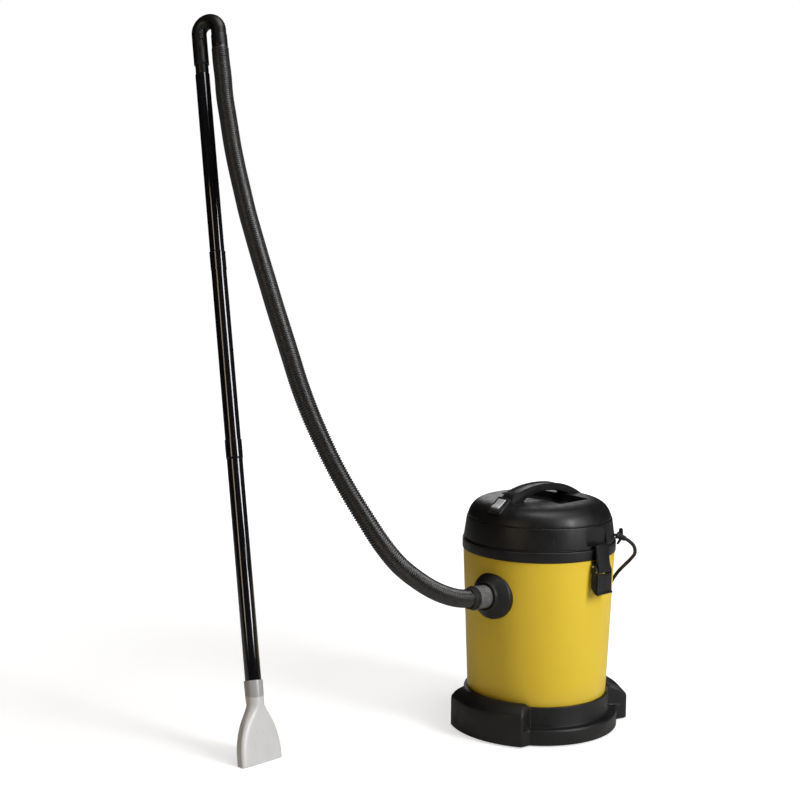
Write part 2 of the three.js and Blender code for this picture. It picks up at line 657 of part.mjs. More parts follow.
// A wand tube; its top end is swelled into a socket when another tube goes into it.
function makeTube([low, high], outer, inner, socketBore) {
  if (!socketBore) return ring(inner, outer, low, high);
  const mouth = high - 40;
  return turned([
    [outer, low], [outer, mouth], [socketBore + 1, mouth + 5], [socketBore + 1, high],
    [socketBore, high], [socketBore, mouth + 3], [inner, mouth + 2], [inner, low],
  ], SMALL);
}
node('tube_lower', makeTube(TUBE_LOWER, 15.9, 13.9, 15.9), BLACK_GLOSS, wand);
node('tube_middle', makeTube(TUBE_MIDDLE, 15.6, 13.7, 15.3), BLACK_GLOSS, wand);
node('tube_upper', makeTube(TUBE_UPPER, 15, 13.2), BLACK_GLOSS, wand);

function makeGrip() {
  const bend = LEG_SPACING / 2;
  const points = [[0, 0, GRIP_COLLAR], [0, 0, GRIP_COLLAR + 30], [0, 0, GRIP_BEND - 12]];
  for (let i = 0; i <= 8; i += 1) {
    const angle = (i / 8) * Math.PI;
    points.push([bend - bend * Math.cos(angle), 0, GRIP_BEND + bend * Math.sin(angle)]);
  }
  points.push([LEG_SPACING, 0, GRIP_BEND - 10], [LEG_SPACING, 0, LEG_END]);
  const arch = pipe(curveThrough(points), GRIP_R, GRIP_BORE, 16, 24);
  const spigot = turned([
    [12.9, 1362], [12.9, TUBE_UPPER[1] + GAP], [13.7, TUBE_UPPER[1] + GAP], [13.7, GRIP_COLLAR - 3],
    [GRIP_R, GRIP_COLLAR - 1], [GRIP_R, GRIP_COLLAR + 4], [GRIP_BORE, GRIP_COLLAR + 4],
    [11, GRIP_COLLAR - 2], [11, 1362],
  ], 16);
  const slot = box(13.4, 20, -4, 4, SLOT[0], SLOT[1]);
  const bleed = rod(2.5, 8, 20, 12).rotateY(Math.PI / 2).translate(0, 0, SLOT[1] - 10);
  const turn = THREE.MathUtils.degToRad(SLOT_TURN);
  return cut(join(arch, spigot), slot.rotateZ(turn), bleed.rotateZ(turn));
}
node('grip', makeGrip(), BLACK_SATIN, wand);

function makeSlider() {
  const plate = box(13.7, 16.2, -3.7, 3.7, SLOT[1] - 16.5, SLOT[1] - 0.5);
  const ribs = [-11, -8, -5].map((z) => box(16, 17.2, -3.7, 3.7, SLOT[1] + z, SLOT[1] + z + 1.2));
  return join(plate, ...ribs).rotateZ(THREE.MathUtils.degToRad(SLOT_TURN));
}
node('air_slider', makeSlider(), BLACK_MATTE, wand);

node('hose_grip_cuff', turned([
  [12.5, 1446], [16.4, 1446], [16.8, 1448], [16.8, LEG_END - GAP], [12.5, LEG_END - GAP],
], SMALL).translate(LEG_SPACING, 0, 0), BLACK_MATTE, wand);

// ---------- suction hose ----------
const HOSE_ROUTE = [
  [14.9, -212.9, 298.7], [16.1, -230.6, 300.2], [18.5, -268, 306], [18, -318, 326], [13, -363, 357],
  [3, -402, 395], [-10, -434, 439], [-27, -459, 486], [-49, -480, 534], [-75, -495, 582], [-102, -505, 630],
  [-131, -509, 678], [-161, -508, 726], [-191, -503, 773], [-223, -496, 819], [-256, -488, 864],
  [-289, -479, 909], [-323, -469, 953], [-356, -459, 997], [-389, -449, 1042], [-420, -438, 1087],
  [-450, -428, 1134], [-478, -418, 1182], [-503, -408, 1231], [-526, -400, 1282], [-542, -392, 1324],
  [-555.9, -386.1, 1357.1], [-564.4, -382.5, 1385.6],
];
node('suction_hose', pipe(curveThrough(HOSE_ROUTE), HOSE_R, HOSE_R - 3, 12, 30), BLACK_MATTE, machine);

export default part;
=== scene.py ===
# The looks of the drum-type spot extractor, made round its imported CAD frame.
# Pieces are drawn in millimetres in the frame of the CAD group they belong to (machine, inlet,
# latch, coil or wand) and brought to metres in the row frame once, when their mesh is made.
import math

import bmesh
import bpy
from mathutils import Matrix, Vector


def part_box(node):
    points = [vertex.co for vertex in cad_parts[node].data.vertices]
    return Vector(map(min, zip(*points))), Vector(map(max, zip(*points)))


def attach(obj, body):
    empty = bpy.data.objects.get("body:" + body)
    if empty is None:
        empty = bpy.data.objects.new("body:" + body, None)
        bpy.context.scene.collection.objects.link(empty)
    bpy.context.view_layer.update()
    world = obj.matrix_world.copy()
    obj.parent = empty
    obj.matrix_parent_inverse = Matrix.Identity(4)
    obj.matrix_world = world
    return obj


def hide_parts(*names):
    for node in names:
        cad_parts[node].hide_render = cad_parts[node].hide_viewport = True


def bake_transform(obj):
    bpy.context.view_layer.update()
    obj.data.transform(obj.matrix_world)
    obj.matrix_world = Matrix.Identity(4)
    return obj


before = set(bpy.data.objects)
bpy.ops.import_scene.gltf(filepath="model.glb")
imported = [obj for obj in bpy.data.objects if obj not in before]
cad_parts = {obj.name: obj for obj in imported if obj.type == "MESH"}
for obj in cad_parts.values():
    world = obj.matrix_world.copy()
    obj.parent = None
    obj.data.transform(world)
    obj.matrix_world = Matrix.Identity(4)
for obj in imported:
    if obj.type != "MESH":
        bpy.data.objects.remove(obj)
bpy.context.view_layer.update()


# ---------- places ----------
def move(*by):
    return Matrix.Translation(by)


def turn(degrees, axis):
    return Matrix.Rotation(math.radians(degrees), 4, axis)


MM = 0.001
drum_low, drum_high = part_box("drum")
AXIS = (drum_low + drum_high) / 2
MACHINE = move(AXIS.x, AXIS.y, 0) @ Matrix.Scale(MM, 4)


INLET_TURN = 4
INLET_TILT = 5
INLET_ORIGIN_Z = 293.5 - 155 * math.sin(math.radians(INLET_TILT))
INLET = (MACHINE @ move(0, 0, INLET_ORIGIN_Z)
         @ turn(INLET_TURN, "Z") @ turn(90 - INLET_TILT, "X"))

SWITCH = MACHINE @ move(0, -124, 471) @ turn(36, "X")
LATCHES = {"right": MACHINE, "left": MACHINE @ turn(180, "Z")}
CORD_EXIT = MACHINE @ turn(37, "Z")
COIL = MACHINE @ move(-225, 202, 0) @ turn(46, "Z")

WAND_FOOT = Vector((-197.4, -574.3, 0))
WAND_AXIS = Vector((-0.2962, 0.1253, 1)).normalized()
LEG_DIRECTION = Vector((0.88, 0.42, 0.21))
LEG_DIRECTION = (LEG_DIRECTION - LEG_DIRECTION.dot(WAND_AXIS) * WAND_AXIS).normalized()
SIDE_DIRECTION = WAND_AXIS.cross(LEG_DIRECTION)
WAND = MACHINE @ Matrix.Translation(WAND_FOOT) @ Matrix(
    (LEG_DIRECTION, SIDE_DIRECTION, WAND_AXIS)).transposed().to_4x4()

# ---------- camera ----------
CAMERA_PLACE = MACHINE @ Vector((1979.5, -2312, 1026))
CAMERA_AZIMUTH = 46
CAMERA_PITCH = 6.71
CAMERA_ROLL = 0.5


def add_camera():
    data = bpy.data.cameras.new("camera")
    data.lens = 67.5
    data.sensor_width = 36
    data.clip_end = 60
    camera = bpy.data.objects.new("camera", data)
    bpy.context.scene.collection.objects.link(camera)
    aim = turn(CAMERA_AZIMUTH, "Z") @ turn(90 - CAMERA_PITCH, "X") @ turn(CAMERA_ROLL, "Z")
    camera.matrix_world = Matrix.Translation(CAMERA_PLACE) @ aim
    bpy.context.scene.camera = camera


add_camera()


# ---------- mesh helpers ----------
def add_mesh(name, points, faces, place, smooth_angle=35):
    """A mesh object from points in a local frame, brought to the row frame by place."""
    mesh = bpy.data.meshes.new(name)
    mesh.from_pydata([place @ Vector(p) for p in points], [], faces)
    work = bmesh.new()
    work.from_mesh(mesh)
    bmesh.ops.remove_doubles(work, verts=work.verts, dist=1e-7)
    bmesh.ops.recalc_face_normals(work, faces=work.faces)
    work.to_mesh(mesh)
    work.free()
    thing = bpy.data.objects.new(name, mesh)
    bpy.context.scene.collection.objects.link(thing)
    shade(thing, smooth_angle)
    return thing


def shade(thing, smooth_angle=35):
    thing.data.polygons.foreach_set("use_smooth", [True] * len(thing.data.polygons))
    thing.data.set_sharp_from_angle(angle=math.radians(smooth_angle))


def apply_modifiers(thing):
    bpy.context.view_layer.update()
    graph = bpy.context.evaluated_depsgraph_get()
    mesh = bpy.data.meshes.new_from_object(thing.evaluated_get(graph))
    thing.modifiers.clear()
    thing.data = mesh


def combine(thing, tool, operation):
    """Boolean of two objects; the tool is removed afterwards."""
    step = thing.modifiers.new("combine", "BOOLEAN")
    step.operation = operation
    step.solver = "EXACT"
    step.object = tool
    apply_modifiers(thing)
    bpy.data.objects.remove(tool)
    shade(thing)
    return thing


def cut(thing, tool):
    return combine(thing, tool, "DIFFERENCE")


def soften(thing, width, segments=3, angle=30):
    """Rounds the sharp edges; width is in millimetres."""
    step = thing.modifiers.new("soften", "BEVEL")
    step.width = width * MM
    step.segments = segments
    step.limit_method = "ANGLE"
    step.angle_limit = math.radians(angle)
    step.use_clamp_overlap = True
    apply_modifiers(thing)
    shade(thing, 50)
    return thing


def rounded(corners, closed=True, steps=5):
    """An outline whose corners are arcs; each corner is (a, b) or (a, b, radius)."""
    points = []
    count = len(corners)
    for i, corner in enumerate(corners):
        here = Vector(corner[:2])
        radius = corner[2] if len(corner) > 2 else 0
        ends = not closed and i in (0, count - 1)
        if radius == 0 or ends:
            points.append(tuple(here))
            continue
        before = Vector(corners[i - 1][:2]) - here
        after = Vector(corners[(i + 1) % count][:2]) - here
        half = before.angle(after) / 2
        reach = min(radius / math.tan(half), before.length * 0.49, after.length * 0.49)
        radius = reach * math.tan(half)
        bisector = (before.normalized() + after.normalized()).normalized()
        centre = here + bisector * (radius / math.sin(half))
        start = here + before.normalized() * reach - centre
        swing = here + after.normalized() * reach - centre
        sweep = start.angle_signed(swing)
        for k in range(steps + 1):
            spin = Matrix.Rotation(-sweep * k / steps, 2)
            points.append(tuple(centre + spin @ start))
    return points


def turned(name, profile, place=MACHINE, sides=128, closed=True, smooth_angle=35):
    """A turned piece: profile is (radius, height) pairs, closed on itself or ending on the axis."""
    points = []
    for k in range(sides):
        angle = 2 * math.pi * k / sides
        points += [(r * math.cos(angle), r * math.sin(angle), z) for r, z in profile]
    count = len(profile)
    faces = []
    for k in range(sides):
        near = k * count
        far = (k + 1) % sides * count
        for i in range(count if closed else count - 1):
            j = (i + 1) % count
            faces.append((near + i, near + j, far + j, far + i))
    return add_mesh(name, points, faces, place, smooth_angle)


def lathe(name, corners, place=MACHINE, sides=128, smooth_angle=35, steps=5):
    """A turned piece with rounded corners; a profile that starts on the axis also ends there."""
    closed = corners[0][0] != 0
    return turned(name, rounded(corners, closed, steps), place, sides, closed, smooth_angle)


def rod(name, radius, low, high, place, sides=24):
    """A plain solid cylinder, for boring holes."""
    profile = [(0, low), (radius, low), (radius, high), (0, high)]
    return turned(name, profile, place, sides, closed=False)


def prism(name, outline, low, high, place):
    """An outline of (first, second) pairs, drawn out along the third axis of place."""
    count = len(outline)
    points = [(a, b, low) for a, b in outline] + [(a, b, high) for a, b in outline]
    faces = [tuple(range(count)), tuple(range(count, 2 * count))]
    faces += [(i, (i + 1) % count, (i + 1) % count + count, i + count) for i in range(count)]
    return add_mesh(name, points, faces, place)


def slab(name, corners, low, high, place):
    """A prism with rounded corners."""
    return prism(name, rounded(corners), low, high, place)


# Swaps the axes so that a prism's outline is (distance along Y or R, height) and it is drawn along X.
SIDE_VIEW = Matrix(((0, 0, 1, 0), (1, 0, 0, 0), (0, 1, 0, 0), (0, 0, 0, 1)))
# Outline is (distance along X, height), drawn along Y.
FRONT_VIEW = Matrix(((1, 0, 0, 0), (0, 0, 1, 0), (0, 1, 0, 0), (0, 0, 0, 1)))


def block(name, x, y, z, place):
    return prism(name, [(x[0], y[0]), (x[1], y[0]), (x[1], y[1]), (x[0], y[1])], z[0], z[1], place)


def smooth_path(points, step):
    """Centripetal Catmull-Rom through the points, resampled about every step."""
    points = [Vector(p) for p in points]
    points = [2 * points[0] - points[1], *points, 2 * points[-1] - points[-2]]
    fine = []
    for i in range(1, len(points) - 2):
        p0, p1, p2, p3 = points[i - 1:i + 3]
        t0 = 0
        t1 = t0 + math.sqrt((p1 - p0).length)
        t2 = t1 + math.sqrt((p2 - p1).length)
        t3 = t2 + math.sqrt((p3 - p2).length)
        for k in range(16):
            t = t1 + (t2 - t1) * k / 16
            a1 = p0.lerp(p1, (t - t0) / (t1 - t0))
            a2 = p1.lerp(p2, (t - t1) / (t2 - t1))
            a3 = p2.lerp(p3, (t - t2) / (t3 - t2))
            b1 = a1.lerp(a2, (t - t0) / (t2 - t0))
            b2 = a2.lerp(a3, (t - t1) / (t3 - t1))
            fine.append(b1.lerp(b2, (t - t1) / (t2 - t1)))
    fine.append(points[-2])
    lengths = [0]
    for a, b in zip(fine, fine[1:]):
        lengths.append(lengths[-1] + (b - a).length)
    count = max(2, round(lengths[-1] / step))
    path = []
    index = 0
    for k in range(count + 1):
        goal = lengths[-1] * k / count
        while index < len(fine) - 2 and lengths[index + 1] < goal:
            index += 1
        share = (goal - lengths[index]) / (lengths[index + 1] - lengths[index])
        path.append(fine[index].lerp(fine[index + 1], share))
    return path


def smooth_outline(corners, step):
    """The same curve through (a, b) corners."""
    return [(p.x, p.y) for p in smooth_path([(*corner, 0) for corner in corners], step)]


def sweep(name, path, section, place, up=Vector((0, 0, 1)), bore=None, smooth_angle=35):
    """Draws section(share) -> [(a, b), ...] along a path; bore(share), if given, is the inside wall."""
    rings = []
    tangents = []
    for i in range(len(path)):
        before = path[max(i - 1, 0)]
        after = path[min(i + 1, len(path) - 1)]
        tangents.append((after - before).normalized())
    side = tangents[0].cross(up)
    side = side.normalized() if side.length > 1e-3 else Vector((1, 0, 0))
    for i, (centre, tangent) in enumerate(zip(path, tangents)):
        side = (side - side.dot(tangent) * tangent).normalized()
        lift = side.cross(tangent)
        share = i / (len(path) - 1)
        walls = [section(share)] + ([bore(share)] if bore else [])
        rings.append([[centre + a * side + b * lift for a, b in wall] for wall in walls])
    points = [p for ring in rings for wall in ring for p in wall]
    count = len(rings[0][0])
    stride = count * (2 if bore else 1)
    faces = []
    for i in range(len(path) - 1):
        for wall in range(2 if bore else 1):
            low = i * stride + wall * count
            for k in range(count):
                j = (k + 1) % count
                faces.append((low + k, low + j, low + stride + j, low + stride + k))
    for low in (0, (len(path) - 1) * stride):
        if bore:
            for k in range(count):
                j = (k + 1) % count
                faces.append((low + k, low + j, low + count + j, low + count + k))
        else:
            faces.append(tuple(range(low, low + count)))
    return add_mesh(name, points, faces, place, smooth_angle)


def circle(radius, sides=24):
    angles = [2 * math.pi * k / sides for k in range(sides)]
    return [(radius * math.cos(a), radius * math.sin(a)) for a in angles]


# ---------- materials ----------
class Finish:
    """A procedural material round one Principled shader, in object coordinates."""

    def __init__(self, name, colour, roughness):
        self.material = bpy.data.materials.new(name)
        self.material.use_nodes = True
        self.tree = self.material.node_tree
        self.shader = self.tree.nodes["Principled BSDF"]
        self.shader.inputs["Base Color"].default_value = (*colour, 1)
        self.shader.inputs["Roughness"].default_value = roughness
        self.place = self.node("TexCoord").outputs["Object"]
        self.normal = None

    def node(self, kind):
        return self.tree.nodes.new("ShaderNode" + kind)

    def link(self, a, b):
        self.tree.links.new(a, b)

    def stretched(self, scale):
        mapping = self.node("Mapping")
        mapping.inputs["Scale"].default_value = scale
        self.link(self.place, mapping.inputs["Vector"])
        return mapping.outputs["Vector"]

    def noise(self, scale, detail=3, stretch=None, distortion=0):
        node = self.node("TexNoise")
        node.inputs["Scale"].default_value = scale
        node.inputs["Detail"].default_value = detail
        node.inputs["Distortion"].default_value = distortion
        self.link(self.stretched(stretch) if stretch else self.place, node.inputs["Vector"])
        return node.outputs["Fac"]

    def cells(self, scale):
        node = self.node("TexVoronoi")
        node.inputs["Scale"].default_value = scale
        self.link(self.place, node.inputs["Vector"])
        return node.outputs["Distance"]

    def remap(self, value, low, high, new_low, new_high):
        node = self.node("MapRange")
        for name, number in zip(("From Min", "From Max", "To Min", "To Max"),
                                (low, high, new_low, new_high)):
            node.inputs[name].default_value = number
        self.link(value, node.inputs["Value"])
        return node.outputs["Result"]

    def height(self, low, high):
        """0 below low and 1 above high, in metres over the floor."""
        split = self.node("SeparateXYZ")
        self.link(self.place, split.inputs["Vector"])
        return self.remap(split.outputs["Z"], low, high, 0, 1)

    def multiply(self, a, b):
        node = self.node("Math")
        node.operation = "MULTIPLY"
        self.link(a, node.inputs[0])
        self.link(b, node.inputs[1])
        return node.outputs["Value"]

    def tint(self, share, colour):
        """Mixes another colour over the base colour by a share from 0 to 1."""
        mix = self.node("Mix")
        mix.data_type = "RGBA"
        base = self.shader.inputs["Base Color"]
        if base.is_linked:
            self.link(base.links[0].from_socket, mix.inputs["A"])
        else:
            mix.inputs["A"].default_value = base.default_value
        mix.inputs["B"].default_value = (*colour, 1)
        self.link(share, mix.inputs["Factor"])
        self.link(mix.outputs["Result"], base)

    def mottle(self, value, low, high, share, colour):
        """Tints where the value is over low, by the full share over high."""
        self.tint(self.remap(value, low, high, 0, share), colour)

    def roughen(self, value, smooth, rough, low=0.3, high=0.7):
        self.link(self.remap(value, low, high, smooth, rough), self.shader.inputs["Roughness"])

    def bump(self, value, distance, strength=1.0):
        node = self.node("Bump")
        node.inputs["Distance"].default_value = distance
        node.inputs["Strength"].default_value = strength
        self.link(value, node.inputs["Height"])
        if self.normal:
            self.link(self.normal, node.inputs["Normal"])
        self.normal = node.outputs["Normal"]
        self.link(self.normal, self.shader.inputs["Normal"])

    def set(self, **values):
        for name, value in values.items():
            self.shader.inputs[name.replace("_", " ")].default_value = value
        return self


def moulded_black(name, colour, roughness, grain=2200, grain_depth=0.00006, wear=0.35):
    """Black moulded plastic: fine spark-eroded grain, faint mottling, dust and rubbed spots."""
    finish = Finish(name, colour, roughness)
    patches = finish.noise(14, 4)
    finish.mottle(patches, 0.45, 0.75, wear, tuple(c * 1.9 + 0.004 for c in colour))
    scuffs = finish.noise(90, 6, stretch=(1, 1, 0.25), distortion=0.6)
    finish.mottle(scuffs, 0.66, 0.78, 0.25, (0.10, 0.10, 0.10))
    finish.roughen(finish.noise(40, 5), roughness - 0.06, roughness + 0.1)
    finish.bump(finish.cells(grain), grain_depth, 0.35)
    finish.bump(finish.noise(260, 3), 0.00012, 0.15)
    finish.set(Specular_IOR_Level=0.34)
    return finish.material


def drum_yellow():
    finish = Finish("drum_yellow", (0.72, 0.505, 0.030), 0.42)
    broad = finish.noise(6, 3, stretch=(1, 1, 0.35))
    finish.mottle(broad, 0.35, 0.7, 0.35, (0.75, 0.55, 0.045))
    # The drum is darkened and browned towards its foot in noisy patches, fading out between 0.06 and
    # 0.12 m over the floor.
    low_darkening = finish.multiply(finish.remap(finish.height(0.06, 0.12), 0, 1, 0.35, 0),
                                finish.noise(35, 5))
    finish.tint(low_darkening, (0.30, 0.24, 0.10))
    scuffs = finish.noise(120, 6, stretch=(0.3, 0.3, 1.6), distortion=0.8)
    finish.mottle(scuffs, 0.68, 0.8, 0.22, (0.86, 0.76, 0.42))
    finish.roughen(finish.noise(30, 5), 0.31, 0.45)
    finish.bump(finish.noise(700, 2), 0.00005, 0.3)
    finish.bump(finish.noise(9, 2), 0.0012, 0.1)
    finish.set(Specular_IOR_Level=0.28)
    return finish.material


def tube_black():
    finish = Finish("tube_black", (0.006, 0.006, 0.008), 0.09)
    finish.roughen(finish.noise(55, 5, stretch=(1, 1, 0.15)), 0.06, 0.2, 0.35, 0.75)
    hairs = finish.noise(420, 4, stretch=(1, 1, 0.03), distortion=0.3)
    finish.mottle(hairs, 0.7, 0.82, 0.2, (0.06, 0.06, 0.06))
    finish.bump(finish.noise(20, 2), 0.0006, 0.08)
    finish.set(Coat_Weight=0.5, Coat_Roughness=0.04)
    return finish.material


def hose_black():
    finish = Finish("hose_black", (0.006, 0.0058, 0.0056), 0.28)
    finish.mottle(finish.noise(45, 4), 0.5, 0.8, 0.5, (0.016, 0.0150, 0.0140))
    finish.roughen(finish.noise(70, 4), 0.24, 0.42)
    finish.bump(finish.noise(900, 2), 0.00002, 0.1)
    finish.set(Specular_IOR_Level=0.75)
    return finish.material


def cuff_grey():
    finish = Finish("cuff_grey", (0.075, 0.075, 0.078), 0.6)
    finish.mottle(finish.noise(120, 6, distortion=1.2), 0.45, 0.75, 0.7, (0.17, 0.17, 0.17))
    finish.mottle(finish.noise(600, 4), 0.62, 0.75, 0.6, (0.30, 0.30, 0.30))
    finish.roughen(finish.noise(200, 5), 0.5, 0.8)
    finish.bump(finish.noise(900, 3), 0.00015, 0.5)
    return finish.material


def nozzle_milky():
    finish = Finish("nozzle_milky", (0.60, 0.60, 0.60), 0.34)
    finish.mottle(finish.noise(30, 4), 0.4, 0.75, 0.5, (0.55, 0.55, 0.548))
    tube_end = finish.remap(finish.height(0.1195, 0.1215), 0, 1, 0, 0.62)
    finish.tint(tube_end, (0.20, 0.20, 0.20))
    finish.roughen(finish.noise(160, 5, stretch=(1, 1, 0.2)), 0.26, 0.46)
    finish.bump(finish.noise(250, 4), 0.00012, 0.2)
    finish.set(Specular_IOR_Level=0.55, Coat_Weight=0.3, Coat_Roughness=0.2)
    return finish.material


def silver_cap():
    finish = Finish("rocker_silver", (0.62, 0.64, 0.66), 0.3)
    finish.mottle(finish.noise(300, 4), 0.5, 0.8, 0.4, (0.40, 0.41, 0.42))
    finish.roughen(finish.noise(500, 3), 0.24, 0.4)
    finish.bump(finish.noise(1800, 2), 0.00004, 0.3)
    finish.set(Metallic=0.35)
    return finish.material


def metal(name, colour, roughness, stretch):
    finish = Finish(name, colour, roughness)
    finish.mottle(finish.noise(60, 5), 0.5, 0.8, 0.5, tuple(c * 0.6 for c in colour))
    finish.roughen(finish.noise(500, 4, stretch=stretch), roughness - 0.08, roughness + 0.15)
    finish.bump(finish.noise(900, 3, stretch=stretch), 0.00006, 0.3)
    finish.set(Metallic=1.0)
    return finish.material


def foam_white():
    finish = Finish("float_white", (0.72, 0.71, 0.67), 0.75)
    finish.mottle(finish.noise(80, 5), 0.5, 0.8, 0.5, (0.52, 0.50, 0.44))
    finish.bump(finish.cells(900), 0.0003, 0.4)
    return finish.material


def rubber(name, colour=(0.016, 0.016, 0.016)):
    finish = Finish(name, colour, 0.75)
    finish.mottle(finish.noise(70, 5), 0.5, 0.8, 0.6, (0.06, 0.058, 0.055))
    finish.roughen(finish.noise(150, 4), 0.65, 0.9)
    finish.bump(finish.noise(1200, 3), 0.0001, 0.4)
    return finish.material


BODY_BLACK = moulded_black("body_black", (0.0050, 0.0050, 0.0054), 0.40)
BASE_BLACK = moulded_black("base_black", (0.0046, 0.0046, 0.0049), 0.46, wear=0.5)
TRIM_BLACK = moulded_black("trim_black", (0.007, 0.007, 0.007), 0.55)
GRIP_BLACK = moulded_black("grip_black", (0.0055, 0.0055, 0.0058), 0.34, grain_depth=0.00003, wear=0.2)
YELLOW = drum_yellow()
TUBE_BLACK = tube_black()
HOSE_BLACK = hose_black()
CUFF_GREY = cuff_grey()
MILKY = nozzle_milky()
SILVER = silver_cap()
STEEL = metal("steel", (0.55, 0.56, 0.57), 0.3, (1, 1, 0.1))
ALLOY = metal("motor_alloy", (0.50, 0.51, 0.53), 0.45, (1, 1, 1))
FOAM = foam_white()
SEAL = rubber("seal_rubber")
TREAD = rubber("tread_rubber", (0.03, 0.03, 0.03))
CORD_BLACK = rubber("cord_black", (0.010, 0.010, 0.011))


def dress(thing, material, body, *nodes):
    """Gives a new piece its material and slot and its body, and hides the CAD nodes that it stands for.
    """
    thing.data.materials.clear()
    thing.data.materials.append(material)
    # A material has its slot's name; Blender adds .001, because the CAD's materials have it too.
    if body:
        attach(thing, body)
    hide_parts(*nodes)
    return thing


# ---------- cords ----------
HOSE_R = 18
HOSE_RIB_PITCH = 5
HOSE_RIB_DEPTH = 2.2
HOSE_WALL = 3.4
HOSE_ROUTE = [
    (14.9, -212.9, 298.7), (16.1, -230.6, 300.9), (18, -268, 310), (17, -318, 331), (12.5, -363, 359),
    (3, -402, 392), (-10, -434, 434), (-27, -459, 481), (-49, -480, 530), (-75, -495, 580),
    (-102, -505, 630), (-131, -509, 678), (-161, -508, 726), (-191, -503, 773), (-223, -496, 819),
    (-256, -488, 864), (-289, -479, 909), (-323, -469, 953), (-356, -459, 997), (-389, -449, 1042),
    (-420, -438, 1087), (-450, -428, 1134), (-478, -418, 1182), (-503, -408, 1231),
    (-526, -400, 1282), (-542, -392, 1324), (-555.9, -386.1, 1357.1), (-564.4, -382.5, 1385.6),
]


def add_hose():
    depths = (0, 0, 0.6, 1, 1, 0.6)
    path = smooth_path(HOSE_ROUTE, HOSE_RIB_PITCH / len(depths))
    plain = 6

    def wall(share):
        index = round(share * (len(path) - 1))
        at_end = index < plain or index > len(path) - 1 - plain
        depth = HOSE_RIB_DEPTH * (0.4 if at_end else depths[index % len(depths)])
        return circle(HOSE_R - depth, 32)

    def inside(share):
        shrink = (HOSE_R - HOSE_WALL) / HOSE_R
        return [(a * shrink, b * shrink) for a, b in circle(HOSE_R, 32)]

    hose = sweep("hose", path, wall, MACHINE, bore=inside, smooth_angle=60)
    dress(hose, HOSE_BLACK, None, "suction_hose")
    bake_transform(hose)


CORD_R = 3.75
CORD_PITCH = 7.6
COIL_ROWS = 4
COIL_OUTER_MID = 56.3
COIL_FLOOR_Z = 4.2
CORD_ROUTE = [
    (127.8, 96.3, 398.4), (135.8, 102.3, 394.4), (142.5, 107.4, 391), (148.4, 122, 378),
    (140.5, 139, 359), (119.5, 153.5, 340), (97, 163, 322), (75.7, 167.5, 302), (61.5, 167.2, 282),
    (43.9, 166.2, 255), (28, 168, 225), (14, 172, 190), (3, 178, 150), (-6, 186, 110), (-14, 195, 72),
    (-28, 204, 40), (-48, 210, 16), (-74, 212, 5), (-101, 209, 4.1), (-128, 209, 4.1),
    (-151, 220.6, 4.1), (-165.8, 234.5, 4.1), (-180, 248.2, 4.1),
]
TAIL_ROUTE = [(-18, 64.8, 21.5), (-30, 65, 17.2), (-43, 65, 14.3), (-57, 65, 14)]


def coil_points():
    """The coil's turns, in the coil's frame: rows from the floor up, each wound in, then out."""
    spots = []
    for row in range(COIL_ROWS):
        columns = range(COIL_ROWS) if row % 2 == 0 else range(COIL_ROWS - 1, -1, -1)
        for column in columns:
            spots.append((COIL_OUTER_MID - CORD_PITCH * column, COIL_FLOOR_Z + CORD_PITCH * row))
    steps = 24
    points = []
    for index, (radius, height) in enumerate(spots):
        last = index == len(spots) - 1
        next_radius, next_height = spots[min(index + 1, len(spots) - 1)]
        count = steps // 4 if last else steps
        for k in range(1, count + 1):
            share = k / steps
            shift = min(max((share - 0.75) / 0.25, 0), 1)
            r = radius + (next_radius - radius) * shift
            z = height + (next_height - height) * shift
            if index == 0 and share < 0.25:
                r += (64.25 - radius) * (1 - share / 0.25) ** 2
            if last:
                r += 6.5 * (k / count) ** 2
            angle = 2 * math.pi * share
            points.append(Vector((r * math.cos(angle), r * math.sin(angle), z)))
    return points


def add_power_cord():
    points = [MACHINE @ Vector(p) for p in CORD_ROUTE]
    points += [COIL @ p for p in coil_points()]
    points += [COIL @ Vector(p) for p in TAIL_ROUTE]
    path = smooth_path(points, 0.004)
    cord = sweep("mains_cord", path, lambda share: circle(CORD_R * MM, 14), Matrix.Identity(4),
                 up=Vector((1, 0, 0)), smooth_angle=60)
    dress(cord, CORD_BLACK, None, "power_cord", "cord_coil", "power_cord_tail")
    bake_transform(cord)
    return cord, path


def add_plug():
    place = COIL @ move(6, 64.95, 14) @ turn(-90, "Y")
    sleeve = lathe("plug_sleeve", [
        (4.1, 50), (6, 50, 0.6), (6.4, 53), (5.6, 53.6), (6.8, 57), (6.0, 57.6), (7.4, 61), (6.6, 61.6),
        (8, 66), (4.1, 66),
    ], place, sides=32)
    body = lathe("plug_body", [
        (0, 65), (9, 65, 1), (13.8, 70, 3), (13.8, 79, 1), (13.1, 80, 1), (13.1, 88, 1), (13.8, 89, 1),
        (13.8, 96, 2), (12.4, 98, 1), (0, 98),
    ], place, sides=48)
    blades = []
    for side in (-6.35, 6.35):
        blade = block("plug_blade", (side - 0.8, side + 0.8), (-3.2, 3.2), (96, 115), place)
        blades.append(soften(blade, 0.35))
    pin = lathe("plug_pin", [
        (0, 96), (2.4, 96), (2.4, 118, 1.6), (0, 118),
    ], place @ move(0, 8, 0), sides=20)
    for piece in (sleeve, body):
        dress(piece, CORD_BLACK, "tank", "power_plug")
    for piece in (*blades, pin):
        dress(piece, STEEL, "tank")
    return [sleeve, body, *blades, pin]


def add_tie():
    outline = rounded([(-62.4, 0.3), (-62.4, 32.9, 5), (-27.6, 32.9, 5), (-27.6, 0.3),
                       (-28.8, 0.3), (-28.8, 31.7, 3.8), (-61.2, 31.7, 3.8), (-61.2, 0.3)])
    tie = prism("cord_tie_strap", outline, -6, 6, COIL @ FRONT_VIEW)
    soften(tie, 0.3, 2)
    return dress(tie, CORD_BLACK, "tank", "cord_tie")


